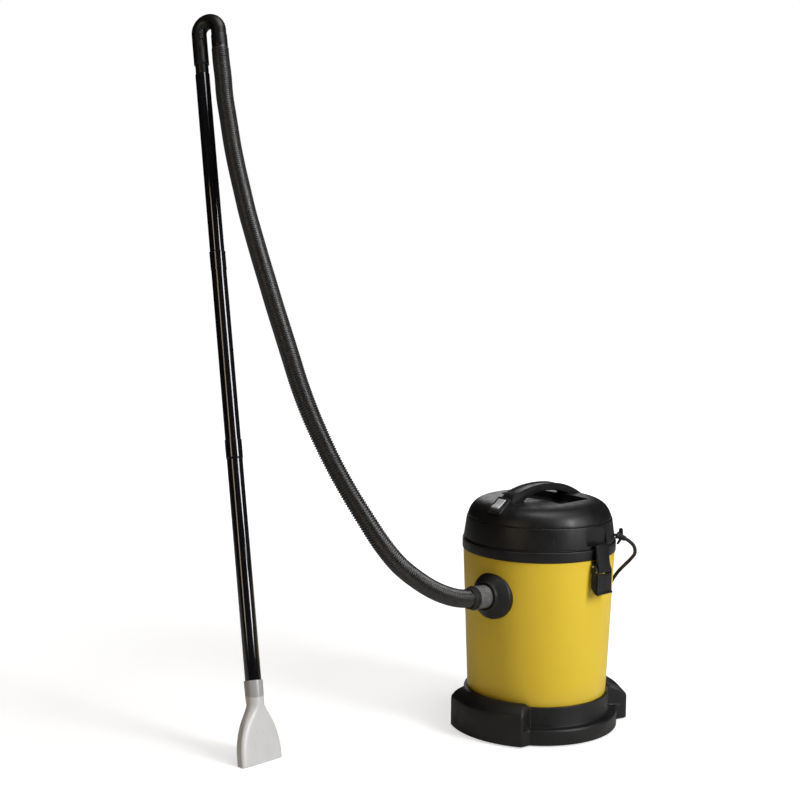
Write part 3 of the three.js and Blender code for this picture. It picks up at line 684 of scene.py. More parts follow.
def add_relief():
    profile = [(4.5, 0), (7.5, 0, 0.8), (7.5, 3.5, 0.8), (6.9, 3.8)]
    for step in range(5):
        low = 5 + 3 * step
        radius = 6.7 - 0.22 * step
        profile += [(radius, low, 0.4), (radius - 0.9, low + 0.6, 0.3), (radius - 0.9, low + 1.4, 0.3),
                    (radius - 0.1, low + 2, 0.4)]
    profile += [(5.6, 20, 0.4), (4.5, 20, 0.4)]
    place = CORD_EXIT @ move(157.1, 0, 399.6) @ turn(90 + 22, "Y")
    relief = lathe("strain_relief", profile, place, sides=32, steps=3)
    return dress(relief, CORD_BLACK, "head", "cord_strain_relief")


def add_cord_hook():
    outline = [
        (150, 398), (163, 398, 1.5), (163.5, 408, 2), (167.5, 411, 3.5), (171.5, 408, 2), (172, 396, 8),
        (170, 386, 6), (162, 375, 2), (158.8, 377, 1.5), (165, 388, 4), (164, 392, 2), (150, 393.8),
    ]
    hook = slab("cord_hook_arm", outline, -2.5, 2.5, CORD_EXIT @ turn(7, "Z") @ FRONT_VIEW)
    soften(hook, 0.8)
    return dress(hook, BODY_BLACK, "head", "cord_hook")


# ---------- trolley ----------
LIP_R = 147.5
SEAT_R = 143.6
RECESS_R = 150
LEDGE_R = 167
LIP_TOP_Z = 75
LEDGE_Z = 34
DECK_Z = 50
DECK_TOP_Z = 54
LOBES = {"front": (0, 182, 37.5), "rear": (180, 192, 45)}
LOBE_STEP = 6
LOBE_CROWN = [(158, 82), (172, 75), (184, 62), (195, 50)]
CASTERS = {
    "front_left": (-45, -128),
    "front_right": (45, -128),
    "rear_left": (-66, 114),
    "rear_right": (66, 114),
}


def smoothstep(value):
    value = min(max(value, 0), 1)
    return value * value * (3 - 2 * value)


def lobe_at(from_front):
    """The lobe's share, 0 to 1, and its radius at an angle from the front."""
    middle, radius, half = LOBES["front" if abs(from_front) < 90 else "rear"]
    off = abs(abs(from_front) - middle)
    return smoothstep((half - off) / LOBE_STEP), radius


def crown_height(radius):
    """The height of a lobe's falling top at a radius."""
    for (r0, z0), (r1, z1) in zip(LOBE_CROWN, LOBE_CROWN[1:]):
        if radius <= r1:
            return z0 + (z1 - z0) * (radius - r0) / (r1 - r0)
    return LOBE_CROWN[-1][1]


def trolley_section(from_front):
    share, lobe_r = lobe_at(from_front)
    wall_r = RECESS_R + (lobe_r - RECESS_R) * share
    ledge_r = LEDGE_R + (lobe_r - LEDGE_R) * share
    low = [(SEAT_R, DECK_TOP_Z), (SEAT_R, LIP_TOP_Z - 0.9), (SEAT_R + 0.3, LIP_TOP_Z - 0.2),
           (SEAT_R + 0.9, LIP_TOP_Z)]
    recess_top = [(r, LIP_TOP_Z) for r in (147.2, 147.6, 148, 148.4, 148.7, 149)]
    recess_top += [(149.3, 74.9), (149.6, 74.7), (149.8, 74.4), (149.95, 74.1), (RECESS_R, 73.6)]
    lobe_top = [(LIP_R - 0.5, LIP_TOP_Z), (LIP_R, 75.6), (LIP_R, 81), (LIP_R + 0.8, 82), (156.5, 82)]
    for r in (160.5, 168, 173.5, lobe_r - 4.5, lobe_r - 1.2, lobe_r):
        lobe_top.append((r, crown_height(r) - (3.4 if r == lobe_r else 0.6)))
    for (r0, z0), (r1, z1) in zip(recess_top, lobe_top):
        low.append((r0 + (r1 - r0) * share, z0 + (z1 - z0) * share))
    ledge = 1 - share
    outer = [(wall_r, LEDGE_Z + 4), (wall_r + 1.1 * ledge, LEDGE_Z + 1.2),
             (wall_r + 4 * ledge, LEDGE_Z), (wall_r + 8 * ledge, LEDGE_Z),
             (ledge_r - 5 * ledge, LEDGE_Z + 0.6 * ledge),
             (ledge_r - 2.2 * ledge, LEDGE_Z), (ledge_r - 0.6 * ledge, LEDGE_Z - 1.8),
             (ledge_r, LEDGE_Z - 5), (ledge_r, 4), (ledge_r - 0.3, 3.3), (ledge_r - 1, 3),
             (wall_r - 3.4, 3), (wall_r - 4, 3.6), (wall_r - 4, DECK_Z - 2),
             (wall_r - 4.6, DECK_Z - 0.6), (wall_r - 6, DECK_Z)]
    return low + outer


def trolley_angles():
    edges = []
    for middle, _, half in LOBES.values():
        edges += [middle + side * (half - LOBE_STEP / 2) for side in (-1, 1)]
    angles = set()
    for k in range(-720, 720):
        angle = k / 4
        near_edge = any(abs((angle - edge + 180) % 360 - 180) < 4.5 for edge in edges)
        if near_edge or k % 8 == 0:
            angles.add(angle)
    return sorted(angles)


def add_trolley():
    angles = trolley_angles()
    sections = [trolley_section(angle) for angle in angles]
    count = len(sections[0])
    points = []
    for angle, section in zip(angles, sections):
        spin = math.radians(angle - 90)
        points += [(r * math.cos(spin), r * math.sin(spin), z) for r, z in section]
    faces = []
    for k in range(len(angles)):
        near = k * count
        far = (k + 1) % len(angles) * count
        faces += [(near + i, near + i + 1, far + i + 1, far + i) for i in range(count - 1)]
    faces.append(tuple(k * count for k in range(len(angles))))
    faces.append(tuple(k * count + count - 1 for k in range(len(angles))))
    trolley = add_mesh("rolling_base", points, faces, MACHINE)
    for x, y in CASTERS.values():
        hole = rod("hole", 4.4, 45, 60, MACHINE @ move(x, y, 0))
        cut(trolley, hole)
    dress(trolley, BASE_BLACK, "tank", "trolley")


WHEEL_R = 18
WHEEL_WIDTH = 13
CASTER_TRAIL = 12


def add_caster(corner, x, y):
    place = MACHINE @ move(x, y, 0)
    dress(lathe("caster_disc", [
        (0, 44), (16, 44, 1), (16, 49.7, 1), (4, 49.7), (4, 56, 0.8), (0, 56),
    ], place, sides=48), TRIM_BLACK, "caster_" + corner, "caster_fork_" + corner)
    for side in (-1, 1):
        middle = side * (WHEEL_WIDTH / 2 + 2.4)
        outline = rounded([(1, 44.5), (6, 10, 5), (18, 10, 6), (20, 22, 4), (16, 44.5)])
        leg = prism("caster_leg", outline, middle - 1.5, middle + 1.5, place @ SIDE_VIEW)
        eye_place = place @ move(middle, CASTER_TRAIL, WHEEL_R) @ turn(90, "Y")
        cut(leg, rod("eye", 2.8, -5, 5, eye_place))
        soften(leg, 0.5, 2, 40)
        dress(leg, TRIM_BLACK, "caster_" + corner)
    half = WHEEL_WIDTH / 2
    axis = place @ move(0, CASTER_TRAIL, WHEEL_R) @ turn(90, "Y")
    tread = lathe("caster_tread", [
        (13.5, -half + 1), (WHEEL_R - 1, -half, 1), (WHEEL_R, -half + 2.5, 2), (WHEEL_R, -1.2),
        (17.6, -0.7), (17.6, 0.7), (WHEEL_R, 1.2), (WHEEL_R, half - 2.5, 2), (WHEEL_R - 1, half, 1),
        (13.5, half - 1),
    ], axis, sides=64)
    hub = lathe("caster_hub", [
        (2.8, -half), (5.5, -half, 0.6), (6, -half + 2, 1), (13, -half + 2, 1), (13.6, -half + 1),
        (13.6, half - 1), (13, half - 2, 1), (6, half - 2, 1), (5.5, half, 0.6), (2.8, half),
    ], axis, sides=48)
    dress(tread, TREAD, "wheel_" + corner, "caster_wheel_" + corner)
    dress(hub, CUFF_GREY, "wheel_" + corner)
    dress(lathe("caster_pin", [
        (0, -half - 5.4), (2.5, -half - 5.4, 0.5), (2.5, half + 5.4, 0.5), (0, half + 5.4),
    ], axis, sides=24), STEEL, "caster_" + corner, "caster_axle_" + corner)


# ---------- drum, rim and inlet ----------
DRUM_FOOT_Z = 57
DRUM_TOP_Z = 367.7
DRUM_FOOT_R = 142.1
DRUM_TOP_R = 155
DRUM_WALL = 3.4
RIM_R = 157


def add_drum():
    profile = rounded([
        (0, DRUM_FOOT_Z), (DRUM_FOOT_R, DRUM_FOOT_Z, 5), (DRUM_TOP_R, DRUM_TOP_Z, 0.8),
        (DRUM_TOP_R - DRUM_WALL, DRUM_TOP_Z, 0.8), (DRUM_FOOT_R - DRUM_WALL, DRUM_FOOT_Z + 3.5, 4),
        (0, DRUM_FOOT_Z + 3.5),
    ], closed=False)
    drum = turned("tank_drum", profile, sides=192, closed=False)
    cut(drum, rod("hole", 22.3, 100, 190, INLET, sides=64))
    dress(drum, YELLOW, "tank", "drum")
    dress(lathe("tank_rim_band", [
        (149, 368), (RIM_R, 368, 2), (RIM_R, 389, 1.8), (149, 389, 0.8),
    ], sides=192), BODY_BLACK, "tank", "tank_rim")


def add_inlet():
    dome = lathe("inlet_dome", [
        (20.5, 121), (47, 121), (47, 153, 1.5), (45.8, 157, 2), (38, 165.5, 12), (29.6, 173.5, 3),
        (28.6, 178.5, 1.2), (24.6, 178.5, 0.6), (24.6, 166.5, 0.5), (20.5, 166.5, 0.5),
    ], INLET, sides=96)
    inside = turned("inside", [(0, 100), (144.2, 100), (156, 384.4), (0, 384.4)], sides=256,
                    closed=False)
    cut(dome, inside)
    dress(dome, BASE_BLACK, "tank", "inlet_flange")
    dress(lathe("inlet_spigot", [
        (19, 133, 0.4), (21.7, 133, 0.4), (21.7, 161, 0.4), (19, 161, 0.4),
    ], INLET, sides=64), BASE_BLACK, "tank")
    dress(lathe("inlet_nut", [
        (22, 137, 0.5), (29, 137, 0.8), (29, 143, 0.8), (22, 143, 0.5),
    ], INLET, sides=64), TRIM_BLACK, "tank", "inlet_lock_ring")
    dress(lathe("hose_cuff", [
        (17, 167, 0.4), (22.3, 167, 0.8), (22.7, 171, 1), (22.7, 206.5, 2), (24.1, 209, 0.8),
        (24.3, 213.5, 1.2), (17, 213.5, 0.5),
    ], INLET, sides=96), CUFF_GREY, "inlet_cuff", "hose_inlet_cuff")
    dress(lathe("hose_collar", [
        (18.9, 213.8, 0.4), (21.4, 213.8, 0.8), (21.4, 218, 0.8), (20, 219.5, 0.5), (19.8, 228, 0.6),
        (18.9, 228.6, 0.3),
    ], INLET, sides=96), TRIM_BLACK, "tank", "hose_inlet_collar")
    path = [Vector((0, -132, 0))]
    for k in range(17):
        angle = math.pi / 2 * k / 16
        path.append(Vector((0, -130 + 22 * math.sin(angle), -22 * (1 - math.cos(angle)))))
    path.append(Vector((0, -108, -48)))
    place = MACHINE @ move(0, 0, 291.5) @ turn(INLET_TURN, "Z")
    elbow = sweep("inlet_elbow", path, lambda share: circle(20, 48), place,
                  up=Vector((1, 0, 0)), bore=lambda share: circle(17, 48))
    dress(elbow, TRIM_BLACK, "tank", "inlet_deflector")


# ---------- head ----------
SKIRT_Z = 393
PARTING_Z = 435
TAB_TURN = 15


def add_head_ring():
    ring = lathe("head_skirt", [
        (140, 396), (153, 396), (153, SKIRT_Z, 0.3), (154.5, SKIRT_Z, 1.2), (148.7, 433.2, 1.4),
        (147.7, 434.7, 0.5), (144.4, 434.7, 0.5), (144.4, 399.5), (140, 399.5),
    ], sides=192)
    for side in (-1, 1):
        outline = rounded([(-31, 396.2, 2), (31, 396.2, 2), (31, 431, 26), (-31, 431, 26)], steps=10)
        near, far = sorted((side * 147.2, side * 175))
        cut(ring, prism("pad", outline, near, far, MACHINE @ SIDE_VIEW))
    dress(ring, BODY_BLACK, "head", "head_ring")
    for k in range(6):
        place = MACHINE @ turn(TAB_TURN + 60 * k - 90, "Z")
        tab = block("skirt_tab", (151, 153.9), (-4.5, 4.5), (389.5, 394), place)
        dress(soften(tab, 0.6), BODY_BLACK, "head")


def add_cover():
    outline = smooth_outline([(146.5, 435.6), (146, 439), (144.6, 443), (141.3, 450), (134.5, 459),
                              (124, 466), (108, 470.6), (80, 472.7), (40, 473), (0, 473)], 3)
    profile = [(0, PARTING_Z), (145.8, PARTING_Z)] + [(max(r, 0), z) for r, z in outline]
    cover = turned("head_dome", profile, sides=192, closed=False)
    side = rounded([(-33, 520), (-33, 472, 5), (-16, 457, 12), (61, 457, 6), (61, 520)])
    plan = rounded([(-82, -33, 10), (82, -33, 10), (82, 61, 10), (-82, 61, 10)])
    recess = prism("recess", side, -82, 82, MACHINE @ SIDE_VIEW)
    combine(recess, prism("plan", plan, 420, 540, MACHINE), "INTERSECT")
    cut(cover, recess)
    above = slab("above", [(-17, -21, 3), (17, -21, 3), (17, 21, 3), (-17, 21, 3)], 0, 40, SWITCH)
    cut(cover, above)
    cut(cover, block("well", (-11.5, 11.5), (-17, 17), (-24, 10), SWITCH))
    soften(cover, 1.1, 3, 28)
    dress(cover, BODY_BLACK, "head", "head_cover")


def add_handle():
    top = smooth_outline([(-106, 474), (-96, 485), (-80, 492.5), (-55, 498.5), (-18, 502), (18, 501),
                          (50, 496.5), (88, 483.5), (118, 467), (128, 459)], 5)
    under = smooth_outline([(122, 446), (104, 452), (84, 467.5), (48, 481.5), (14, 486.5),
                            (-18, 486.5), (-48, 481.5), (-66, 473.5), (-78, 462)], 5)
    outline = [*top, *under, (-104, 462)]
    handle = prism("carry_handle", outline, -15, 15, MACHINE @ SIDE_VIEW)
    cut(handle, block("well", (-11.5, 11.5), (-17, 17), (-24, 40), SWITCH))
    along = [(y, z) for y, z in top if -84 < y < 112]
    channel = [(y, z - 2.4) for y, z in along] + [(y, z + 12) for y, z in reversed(along)]
    cut(handle, prism("channel", channel, -11.2, 11.2, MACHINE @ SIDE_VIEW))
    soften(handle, 1.1, 3, 40)
    dress(handle, BODY_BLACK, "head", "head_cover")


def add_switch():
    def plate(name, half_width, half_length, low, high, radius):
        corners = [(-half_width, -half_length), (half_width, -half_length), (half_width, half_length),
                   (-half_width, half_length)]
        return slab(name, [(*c, radius) for c in corners], low, high, SWITCH)

    platform = plate("switch_platform", 17, 21, -15, 0, 3)
    cut(platform, block("well", (-11.5, 11.5), (-17, 17), (-24, 10), SWITCH))
    soften(platform, 0.8, 3, 50)
    dress(platform, BODY_BLACK, "head", "head_cover")
    housing = combine(plate("switch_bezel", 14, 20, 0.3, 2.6, 3),
                      plate("frame", 11.2, 16.6, -16, 0.8, 1), "UNION")
    cut(housing, plate("opening", 10.3, 15.3, -13, 10, 1.5))
    soften(housing, 0.4, 2, 50)
    dress(housing, TRIM_BLACK, "head", "switch_housing")
    outline = rounded([(-13.4, 0, 1), (-8, -5), (8, -5), (13.4, 0, 1), (13.4, 7.6, 1.2), (0, 5.2, 30),
                       (-13.4, 7.6, 1.2)])
    rocker = prism("switch_rocker", outline, -10, 10,
                   SWITCH @ move(0, 0, -3) @ turn(-5.5, "X") @ SIDE_VIEW)
    soften(rocker, 0.7, 3, 50)
    dress(rocker, SILVER, "rocker", "power_rocker")


FLOAT_R = 19
FLOAT_Z = 240.2


def add_motor():
    dress(lathe("rim_seal", [
        (150, 389.3, 0.8), (152.5, 389.3, 0.8), (152.5, 392.3, 0.8), (150, 392.3, 0.8),
    ], sides=192), SEAL, "head", "head_seal")
    dress(lathe("motor_pot", [
        (14, 306, 1), (80, 306, 6), (80, 392.6, 4), (152.5, 392.6), (152.5, 395.6), (77, 395.6),
        (77, 309, 4), (14, 309, 1),
    ], sides=128), TRIM_BLACK, "head", "motor_pan")
    dress(lathe("fan_ring_seal", [
        (44, 309.3, 1), (70, 309.3, 1), (70, 311.7, 1), (44, 311.7, 1),
    ], sides=96), SEAL, "head", "fan_gasket")
    dress(lathe("fan_shroud", [
        (36, 312, 1), (71, 312, 2), (73, 314, 1), (73, 328, 1), (72, 329, 1), (72, 333, 1),
        (73, 334, 1), (73, 350, 4), (47, 352, 2), (36, 352, 1),
    ], sides=96), ALLOY, "head", "fan_housing")
    dress(lathe("motor_shell", [
        (0, 352.3), (45, 352.3, 1), (46, 356, 1), (46, 372, 1), (45.2, 374, 1), (45.2, 404, 1),
        (46, 406, 1), (46, 420, 5), (40, 427, 4), (14, 427, 1), (13, 426, 1), (0, 426),
    ], sides=96), STEEL, "head", "motor_can")
    cage = lathe("float_basket", [
        (0, 218), (26, 218, 2), (26, 302.5, 1), (35, 302.5, 0.6), (35, 305.7, 0.6), (23.5, 305.7),
        (23.5, 220.5, 1.5), (0, 220.5),
    ], sides=96)
    for angle in (0, 60, 120):
        outline = rounded([(-7, 226, 5), (7, 226, 5), (7, 292, 5), (-7, 292, 5)])
        window = prism("window", outline, -40, 40, MACHINE @ turn(angle, "Z") @ SIDE_VIEW)
        cut(cage, window)
    soften(cage, 0.4, 2, 50)
    dress(cage, TRIM_BLACK, "head", "float_cage")
    angles = [math.pi * k / 32 for k in range(33)]
    half = [(FLOAT_R * math.sin(a), FLOAT_Z - FLOAT_R * math.cos(a)) for a in angles]
    half[0] = (0, half[0][1])
    half[-1] = (0, half[-1][1])
    half[15:18] = [half[15], (18.9, 239.8), (18.9, 240.6), half[17]]
    ball = turned("float_sphere", half, sides=64, closed=False)
    dress(ball, FOAM, "float", "float_ball")


# ---------- latches ----------
PIN = (160.2, 357)
KNUCKLE = (169.5, 347)


def cross_pin(name, radius, half, at, place, bevel=0.4):
    profile = [(0, -half), (radius, -half, bevel), (radius, half, bevel), (0, half)]
    axis = place @ move(at[0], 0, at[1]) @ turn(90, "X")
    return lathe(name, profile, axis, sides=32)


def add_latch(side, place):
    view = place @ FRONT_VIEW
    bracket = block("latch_plate", (150, 157.4), (-19, 19), (343, 365), place)
    cone = turned("cone", [(0, 340), (154.15, 340), (155.4, 370), (0, 370)], sides=256, closed=False)
    cut(bracket, cone)
    soften(bracket, 0.8, 3, 50)
    dress(bracket, BODY_BLACK, "tank", "latch_bracket_" + side)
    for y in (-17.6, 17.6):
        ear = slab("latch_ear", [
            (155, 351.5), (163, 351.5, 3), (163, 362, 3), (155, 363),
        ], y - 1.3, y + 1.3, view)
        cut(ear, cross_pin("bore", 2.4, 30, PIN, place))
        soften(ear, 0.35, 2, 50)
        dress(ear, BODY_BLACK, "tank")
    dress(cross_pin("latch_axle", 2.1, 22.3, PIN, place), STEEL, "tank", "latch_pin_" + side)

    for y in (-20.8, 20.8):
        cheek = slab("latch_cheek", [
            (157, 361, 2), (164, 362, 2.5), (169, 356, 5), (173.2, 347, 5), (172.4, 304, 6),
            (174.8, 302, 1), (174.8, 300), (166, 302, 2), (156, 314, 6), (156.4, 340, 6),
        ], y - 1.5, y + 1.5, view)
        for at, radius in ((PIN, 2.4), (KNUCKLE, 2.1)):
            cut(cheek, cross_pin("bore", radius, 30, at, place, 0))
        soften(cheek, 0.5, 2, 50)
        dress(cheek, BODY_BLACK, "lever_" + side)
    face = slab("latch_face", [
        (172.9, 341.5, 1), (172.4, 305, 3), (176, 303.4, 1), (176, 301, 0.8), (169.4, 301, 0.8),
        (169.4, 341.5, 1),
    ], -22.3, 22.3, view)
    soften(face, 0.8, 3, 50)
    dress(face, BODY_BLACK, "lever_" + side, "latch_lever_" + side)

    strap = slab("latch_strap", [
        (163.7, 353, 2), (163.7, 366, 6), (161, 396.2, 0.5), (157.2, 396.2, 0.6), (157.2, 399, 0.8),
        (163.6, 399, 1.2), (165, 397, 2), (171.4, 359, 4), (172.7, 349.5), (166.5, 344.5),
    ], -18, 18, view)
    soften(strap, 0.7, 3, 50)
    knuckle = cross_pin("latch_knuckle", 4, 18, KNUCKLE, place)
    for piece in (strap, knuckle):
        cut(piece, cross_pin("bore", 2.1, 30, KNUCKLE, place, 0))
        dress(piece, BODY_BLACK, "hook_" + side, "latch_hook_" + side)
    dress(cross_pin("latch_hinge", 1.8, 22.3, KNUCKLE, place), STEEL, "lever_" + side,
          "latch_hook_pin_" + side)


# ---------- wand ----------
NOZZLE_STATIONS = [
    # station along the wand, half width, half depth, squareness
    (-24, 48.5, 11, 6), (20, 48, 11.4, 6), (40, 45.5, 11.8, 5.5), (60, 40, 12.4, 5), (75, 34, 13.2, 4),
    (90, 26, 14.4, 3), (102, 19.6, 15.8, 2.3), (108, 17.6, 16.8, 2),
    (122, 18, 17.9, 2), (150, 18.5, 18.5, 2), (154, 18.5, 18.5, 2),
]


def loft(name, stations, place, sides=96):
    """Rings of changing width, depth and squareness, closed flat at both ends."""
    points = []
    for z, width, depth, square in stations:
        for k in range(sides):
            angle = 2 * math.pi * k / sides
            x, y = math.cos(angle), math.sin(angle)
            points.append((width * math.copysign(abs(x) ** (2 / square), x),
                           depth * math.copysign(abs(y) ** (2 / square), y), z))
    faces = [tuple(range(sides)), tuple(range((len(stations) - 1) * sides, len(stations) * sides))]
    for row in range(len(stations) - 1):
        for k in range(sides):
            j = (k + 1) % sides
            near, far = row * sides, (row + 1) * sides
            faces.append((near + k, near + j, far + j, far + k))
    return add_mesh(name, points, faces, place, smooth_angle=40)


def smooth_stations(stations, step=4):
    """Eased in-between stations, so that the loft's flare has no visible rings."""
    fine = []
    for i in range(len(stations) - 1):
        p0 = stations[max(i - 1, 0)]
        p1, p2 = stations[i], stations[i + 1]
        p3 = stations[min(i + 2, len(stations) - 1)]
        count = max(1, round((p2[0] - p1[0]) / step))
        for k in range(count):
            t = k / count
            station = [p1[0] + (p2[0] - p1[0]) * t]
            for a, b, c, d in list(zip(p0, p1, p2, p3))[1:]:
                slope_b = (c - a) / 2
                slope_c = (d - b) / 2
                value = ((2 * t ** 3 - 3 * t ** 2 + 1) * b + (t ** 3 - 2 * t ** 2 + t) * slope_b
                         + (3 * t ** 2 - 2 * t ** 3) * c + (t ** 3 - t ** 2) * slope_c)
                station.append(value)
            fine.append(tuple(station))
    fine.append(stations[-1])
    return fine


def add_nozzle():
    width_turn = math.degrees(math.atan2(Vector((0, 1, 0)).dot(SIDE_DIRECTION),
                                         Vector((0, 1, 0)).dot(LEG_DIRECTION)))
    place = WAND @ turn(width_turn, "Z")
    outside = smooth_stations(NOZZLE_STATIONS)
    nozzle = loft("floor_nozzle_shell", outside, place)
    bore = [(z - (6 if z < -20 else 0), w - 2.6, d - 2.6, n) for z, w, d, n in outside if z < 112]
    bore += [(116, 14, 14, 2), (116.1, 16.3, 16.3, 2), (159, 16.3, 16.3, 2)]
    cut(nozzle, loft("bore", bore, place))
    floor_plan = move(WAND_FOOT.x, WAND_FOOT.y, 0)
    below = block("below", (-200, 200), (-200, 200), (-150, 0.2), MACHINE @ floor_plan)
    cut(nozzle, below)
    soften(nozzle, 0.4, 2, 50)
    dress(nozzle, MILKY, "floor_nozzle", "nozzle")


def add_tubes():
    def tube(name, low, high, outer, inner, socket_bore=None):
        if socket_bore is None:
            profile = [(outer, low, 0.5), (outer, high, 0.5), (inner, high, 0.4), (inner, low, 0.4)]
        else:
            mouth = high - 40
            profile = [(outer, low, 0.5), (outer, mouth, 2), (socket_bore + 1, mouth + 5, 2),
                       (socket_bore + 1, high - 3.2, 0.4), (socket_bore + 1.25, high - 2.8, 0.3),
                       (socket_bore + 1.25, high, 0.7), (socket_bore, high, 0.3),
                       (socket_bore, mouth + 3), (inner, mouth + 2), (inner, low, 0.4)]
        return lathe(name, profile, WAND, sides=96)

    dress(tube("wand_lower", 120, 626, 15.9, 13.9, 15.9), TUBE_BLACK, "lower_tube", "tube_lower")
    dress(tube("wand_middle", 590, 1014, 15.6, 13.7, 15.3), TUBE_BLACK, "middle_tube", "tube_middle")
    dress(tube("wand_upper", 978, 1396, 15, 13.2), TUBE_BLACK, "upper_tube", "tube_upper")


GRIP_COLLAR = 1420
GRIP_BEND = 1484
LEG_SPACING = 46
LEG_END = 1472
SLOT = (1452, 1486)
SLOT_TURN = -50


def add_grip():
    half = LEG_SPACING / 2
    path = [Vector((0, 0, z)) for z in range(GRIP_COLLAR, GRIP_BEND, 4)]
    for k in range(49):
        angle = math.pi * k / 48
        path.append(Vector((half - half * math.cos(angle), 0, GRIP_BEND + half * math.sin(angle))))
    path += [Vector((LEG_SPACING, 0, z)) for z in range(GRIP_BEND - 4, LEG_END - 1, -4)]
    if path[-1].z > LEG_END:
        path.append(Vector((LEG_SPACING, 0, LEG_END)))
    arch = sweep("grip_arch", path, lambda share: circle(15.8, 64), WAND, up=Vector((0, 1, 0)),
                 bore=lambda share: circle(12, 64))
    gate_place = WAND @ turn(SLOT_TURN, "Z")
    slot = slab("slot", [
        (-4, SLOT[0], 3), (4, SLOT[0], 3), (4, SLOT[1], 3), (-4, SLOT[1], 3),
    ], 13.4, 20, gate_place @ SIDE_VIEW)
    cut(arch, slot)
    bleed_place = gate_place @ move(0, 0, SLOT[1] - 10) @ turn(90, "Y")
    cut(arch, rod("bleed", 2.5, 8, 20, bleed_place))
    soften(arch, 0.5, 2, 50)
    dress(arch, GRIP_BLACK, "handpiece", "grip")
    dress(lathe("grip_spigot", [
        (11, 1362, 0.4), (12.9, 1362, 0.6), (12.9, 1396.3), (13.7, 1396.3, 0.4),
        (13.7, GRIP_COLLAR - 4, 0.4), (15.8, GRIP_COLLAR - 2, 1), (15.8, GRIP_COLLAR + 1),
        (11, GRIP_COLLAR + 1),
    ], WAND, sides=64), GRIP_BLACK, "handpiece")
    plate = slab("gate_plate", [
        (-3.7, SLOT[1] - 16.5, 2.6), (3.7, SLOT[1] - 16.5, 2.6), (3.7, SLOT[1] - 0.5, 2.6),
        (-3.7, SLOT[1] - 0.5, 2.6),
    ], 13.7, 16.2, gate_place @ SIDE_VIEW)
    dress(soften(plate, 0.4, 2, 50), TRIM_BLACK, "air_gate", "air_slider")
    for z in (-11, -8, -5):
        rib = block("gate_rib", (16, 17.2), (-3.1, 3.1), (SLOT[1] + z, SLOT[1] + z + 1.2), gate_place)
        dress(soften(rib, 0.4, 2, 50), TRIM_BLACK, "air_gate")
    dress(lathe("hose_upper_cuff", [
        (12.5, 1446, 0.4), (16.4, 1446, 0.8), (16.8, 1448.5, 0.8), (16.8, 1471.7, 0.8),
        (12.5, 1471.7, 0.4),
    ], WAND @ move(LEG_SPACING, 0, 0), sides=64), GRIP_BLACK, "grip_cuff", "hose_grip_cuff")


# ---------- stage ----------
def add_area(name, place, size, target, energy, colour=(1, 1, 1)):
    data = bpy.data.lights.new(name, "AREA")
    data.shape = "RECTANGLE"
    data.size, data.size_y = size
    data.energy = energy
    data.color = colour
    light = bpy.data.objects.new(name, data)
    bpy.context.scene.collection.objects.link(light)
    light.location = place
    light.rotation_euler = (Vector(target) - Vector(place)).to_track_quat("-Z", "Y").to_euler()


def camera_ray(tree):
    """1 where the camera looks straight at the surface, 0 for light that bounces."""
    return tree.nodes.new("ShaderNodeLightPath").outputs["Is Camera Ray"]


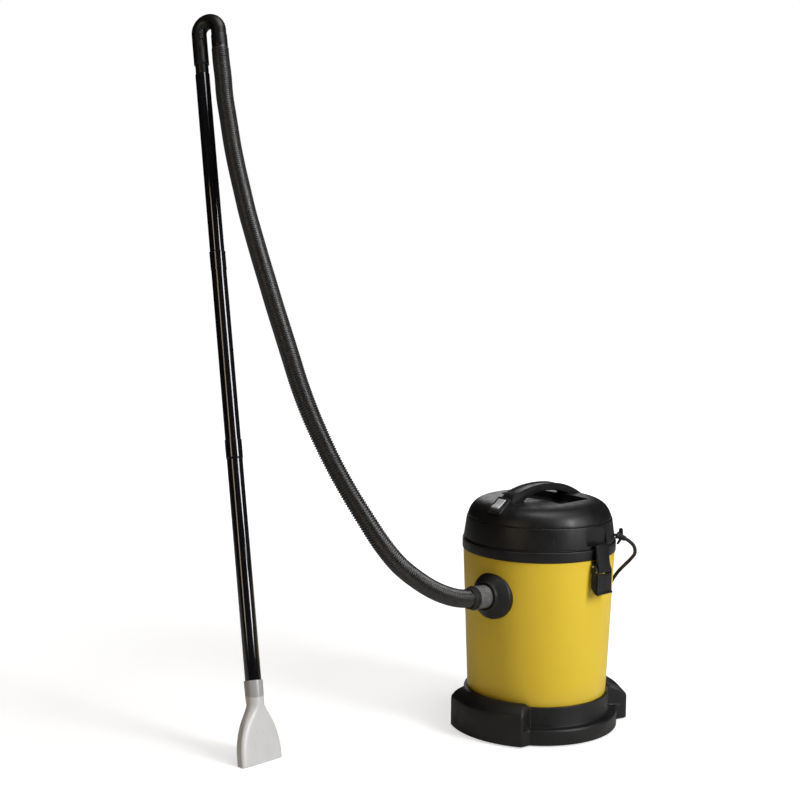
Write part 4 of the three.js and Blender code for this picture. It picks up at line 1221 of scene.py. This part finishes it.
def add_world():
    """A white backdrop to look at, and a dim room with a brighter ceiling to be lit by."""
    world = bpy.data.worlds.new("studio")
    world.use_nodes = True
    tree = world.node_tree
    room = tree.nodes["Background"]
    backdrop = tree.nodes.new("ShaderNodeBackground")
    backdrop.inputs["Color"].default_value = (1, 1, 1, 1)
    backdrop.inputs["Strength"].default_value = 1.0
    split = tree.nodes.new("ShaderNodeSeparateXYZ")
    tree.links.new(tree.nodes.new("ShaderNodeTexCoord").outputs["Generated"], split.inputs["Vector"])
    ramp = tree.nodes.new("ShaderNodeMapRange")
    for name, number in zip(("From Min", "From Max", "To Min", "To Max"), (-0.1, 0.9, 0.06, 0.3)):
        ramp.inputs[name].default_value = number
    tree.links.new(split.outputs["Z"], ramp.inputs["Value"])
    tree.links.new(ramp.outputs["Result"], room.inputs["Strength"])
    mix = tree.nodes.new("ShaderNodeMixShader")
    tree.links.new(camera_ray(tree), mix.inputs["Fac"])
    tree.links.new(room.outputs["Background"], mix.inputs[1])
    tree.links.new(backdrop.outputs["Background"], mix.inputs[2])
    tree.links.new(mix.outputs["Shader"], tree.nodes["World Output"].inputs["Surface"])
    bpy.context.scene.world = world


def add_floor():
    """A pale matt floor, lifted to white where the camera looks at it, so only soft shadows show."""
    floor = add_mesh("floor", [(-30, -30, 0), (30, -30, 0), (30, 30, 0), (-30, 30, 0)], [(0, 1, 2, 3)],
                     Matrix.Identity(4))
    finish = Finish("pale_floor", (0.62, 0.62, 0.62), 0.9)
    finish.roughen(finish.noise(3, 3), 0.85, 0.95)
    finish.set(Emission_Color=(1, 1, 1, 1))
    away = finish.node("VectorMath")
    away.operation = "LENGTH"
    finish.link(finish.node("TexCoord").outputs["Object"], away.inputs[0])
    fade = finish.remap(away.outputs["Value"], 0.7, 2.4, 0.60, 1.0)
    lift = finish.multiply(camera_ray(finish.tree), fade)
    finish.link(lift, finish.shader.inputs["Emission Strength"])
    floor.data.materials.append(finish.material)


def add_stage():
    bpy.context.scene.view_settings.view_transform = "Standard"
    add_world()
    add_floor()
    middle = (0.1, 0.1, 0.5)
    add_area("key", (3.5, 0.75, 2.1), (1.0, 2.6), middle, 128)
    add_area("top", (0.7, 0.3, 3.3), (1.6, 1.6), middle, 50)
    add_area("back", (-2.6, 3.0, 1.9), (1.2, 2.2), middle, 16)
    add_area("fill", (0.6, -3.8, 1.7), (0.8, 2.4), middle, 26, (1, 0.80, 0.58))


add_hose()
mains_cord, cord_line = add_power_cord()
cord_pieces = [*add_plug(), add_tie(), add_relief()]
add_cord_hook()
add_trolley()
for corner, (x, y) in CASTERS.items():
    add_caster(corner, x, y)
add_drum()
add_inlet()
add_head_ring()
add_cover()
add_handle()
add_switch()
add_motor()
for side, place in LATCHES.items():
    add_latch(side, place)
add_nozzle()
add_tubes()
add_grip()
add_stage()

bpy.context.view_layer.update()
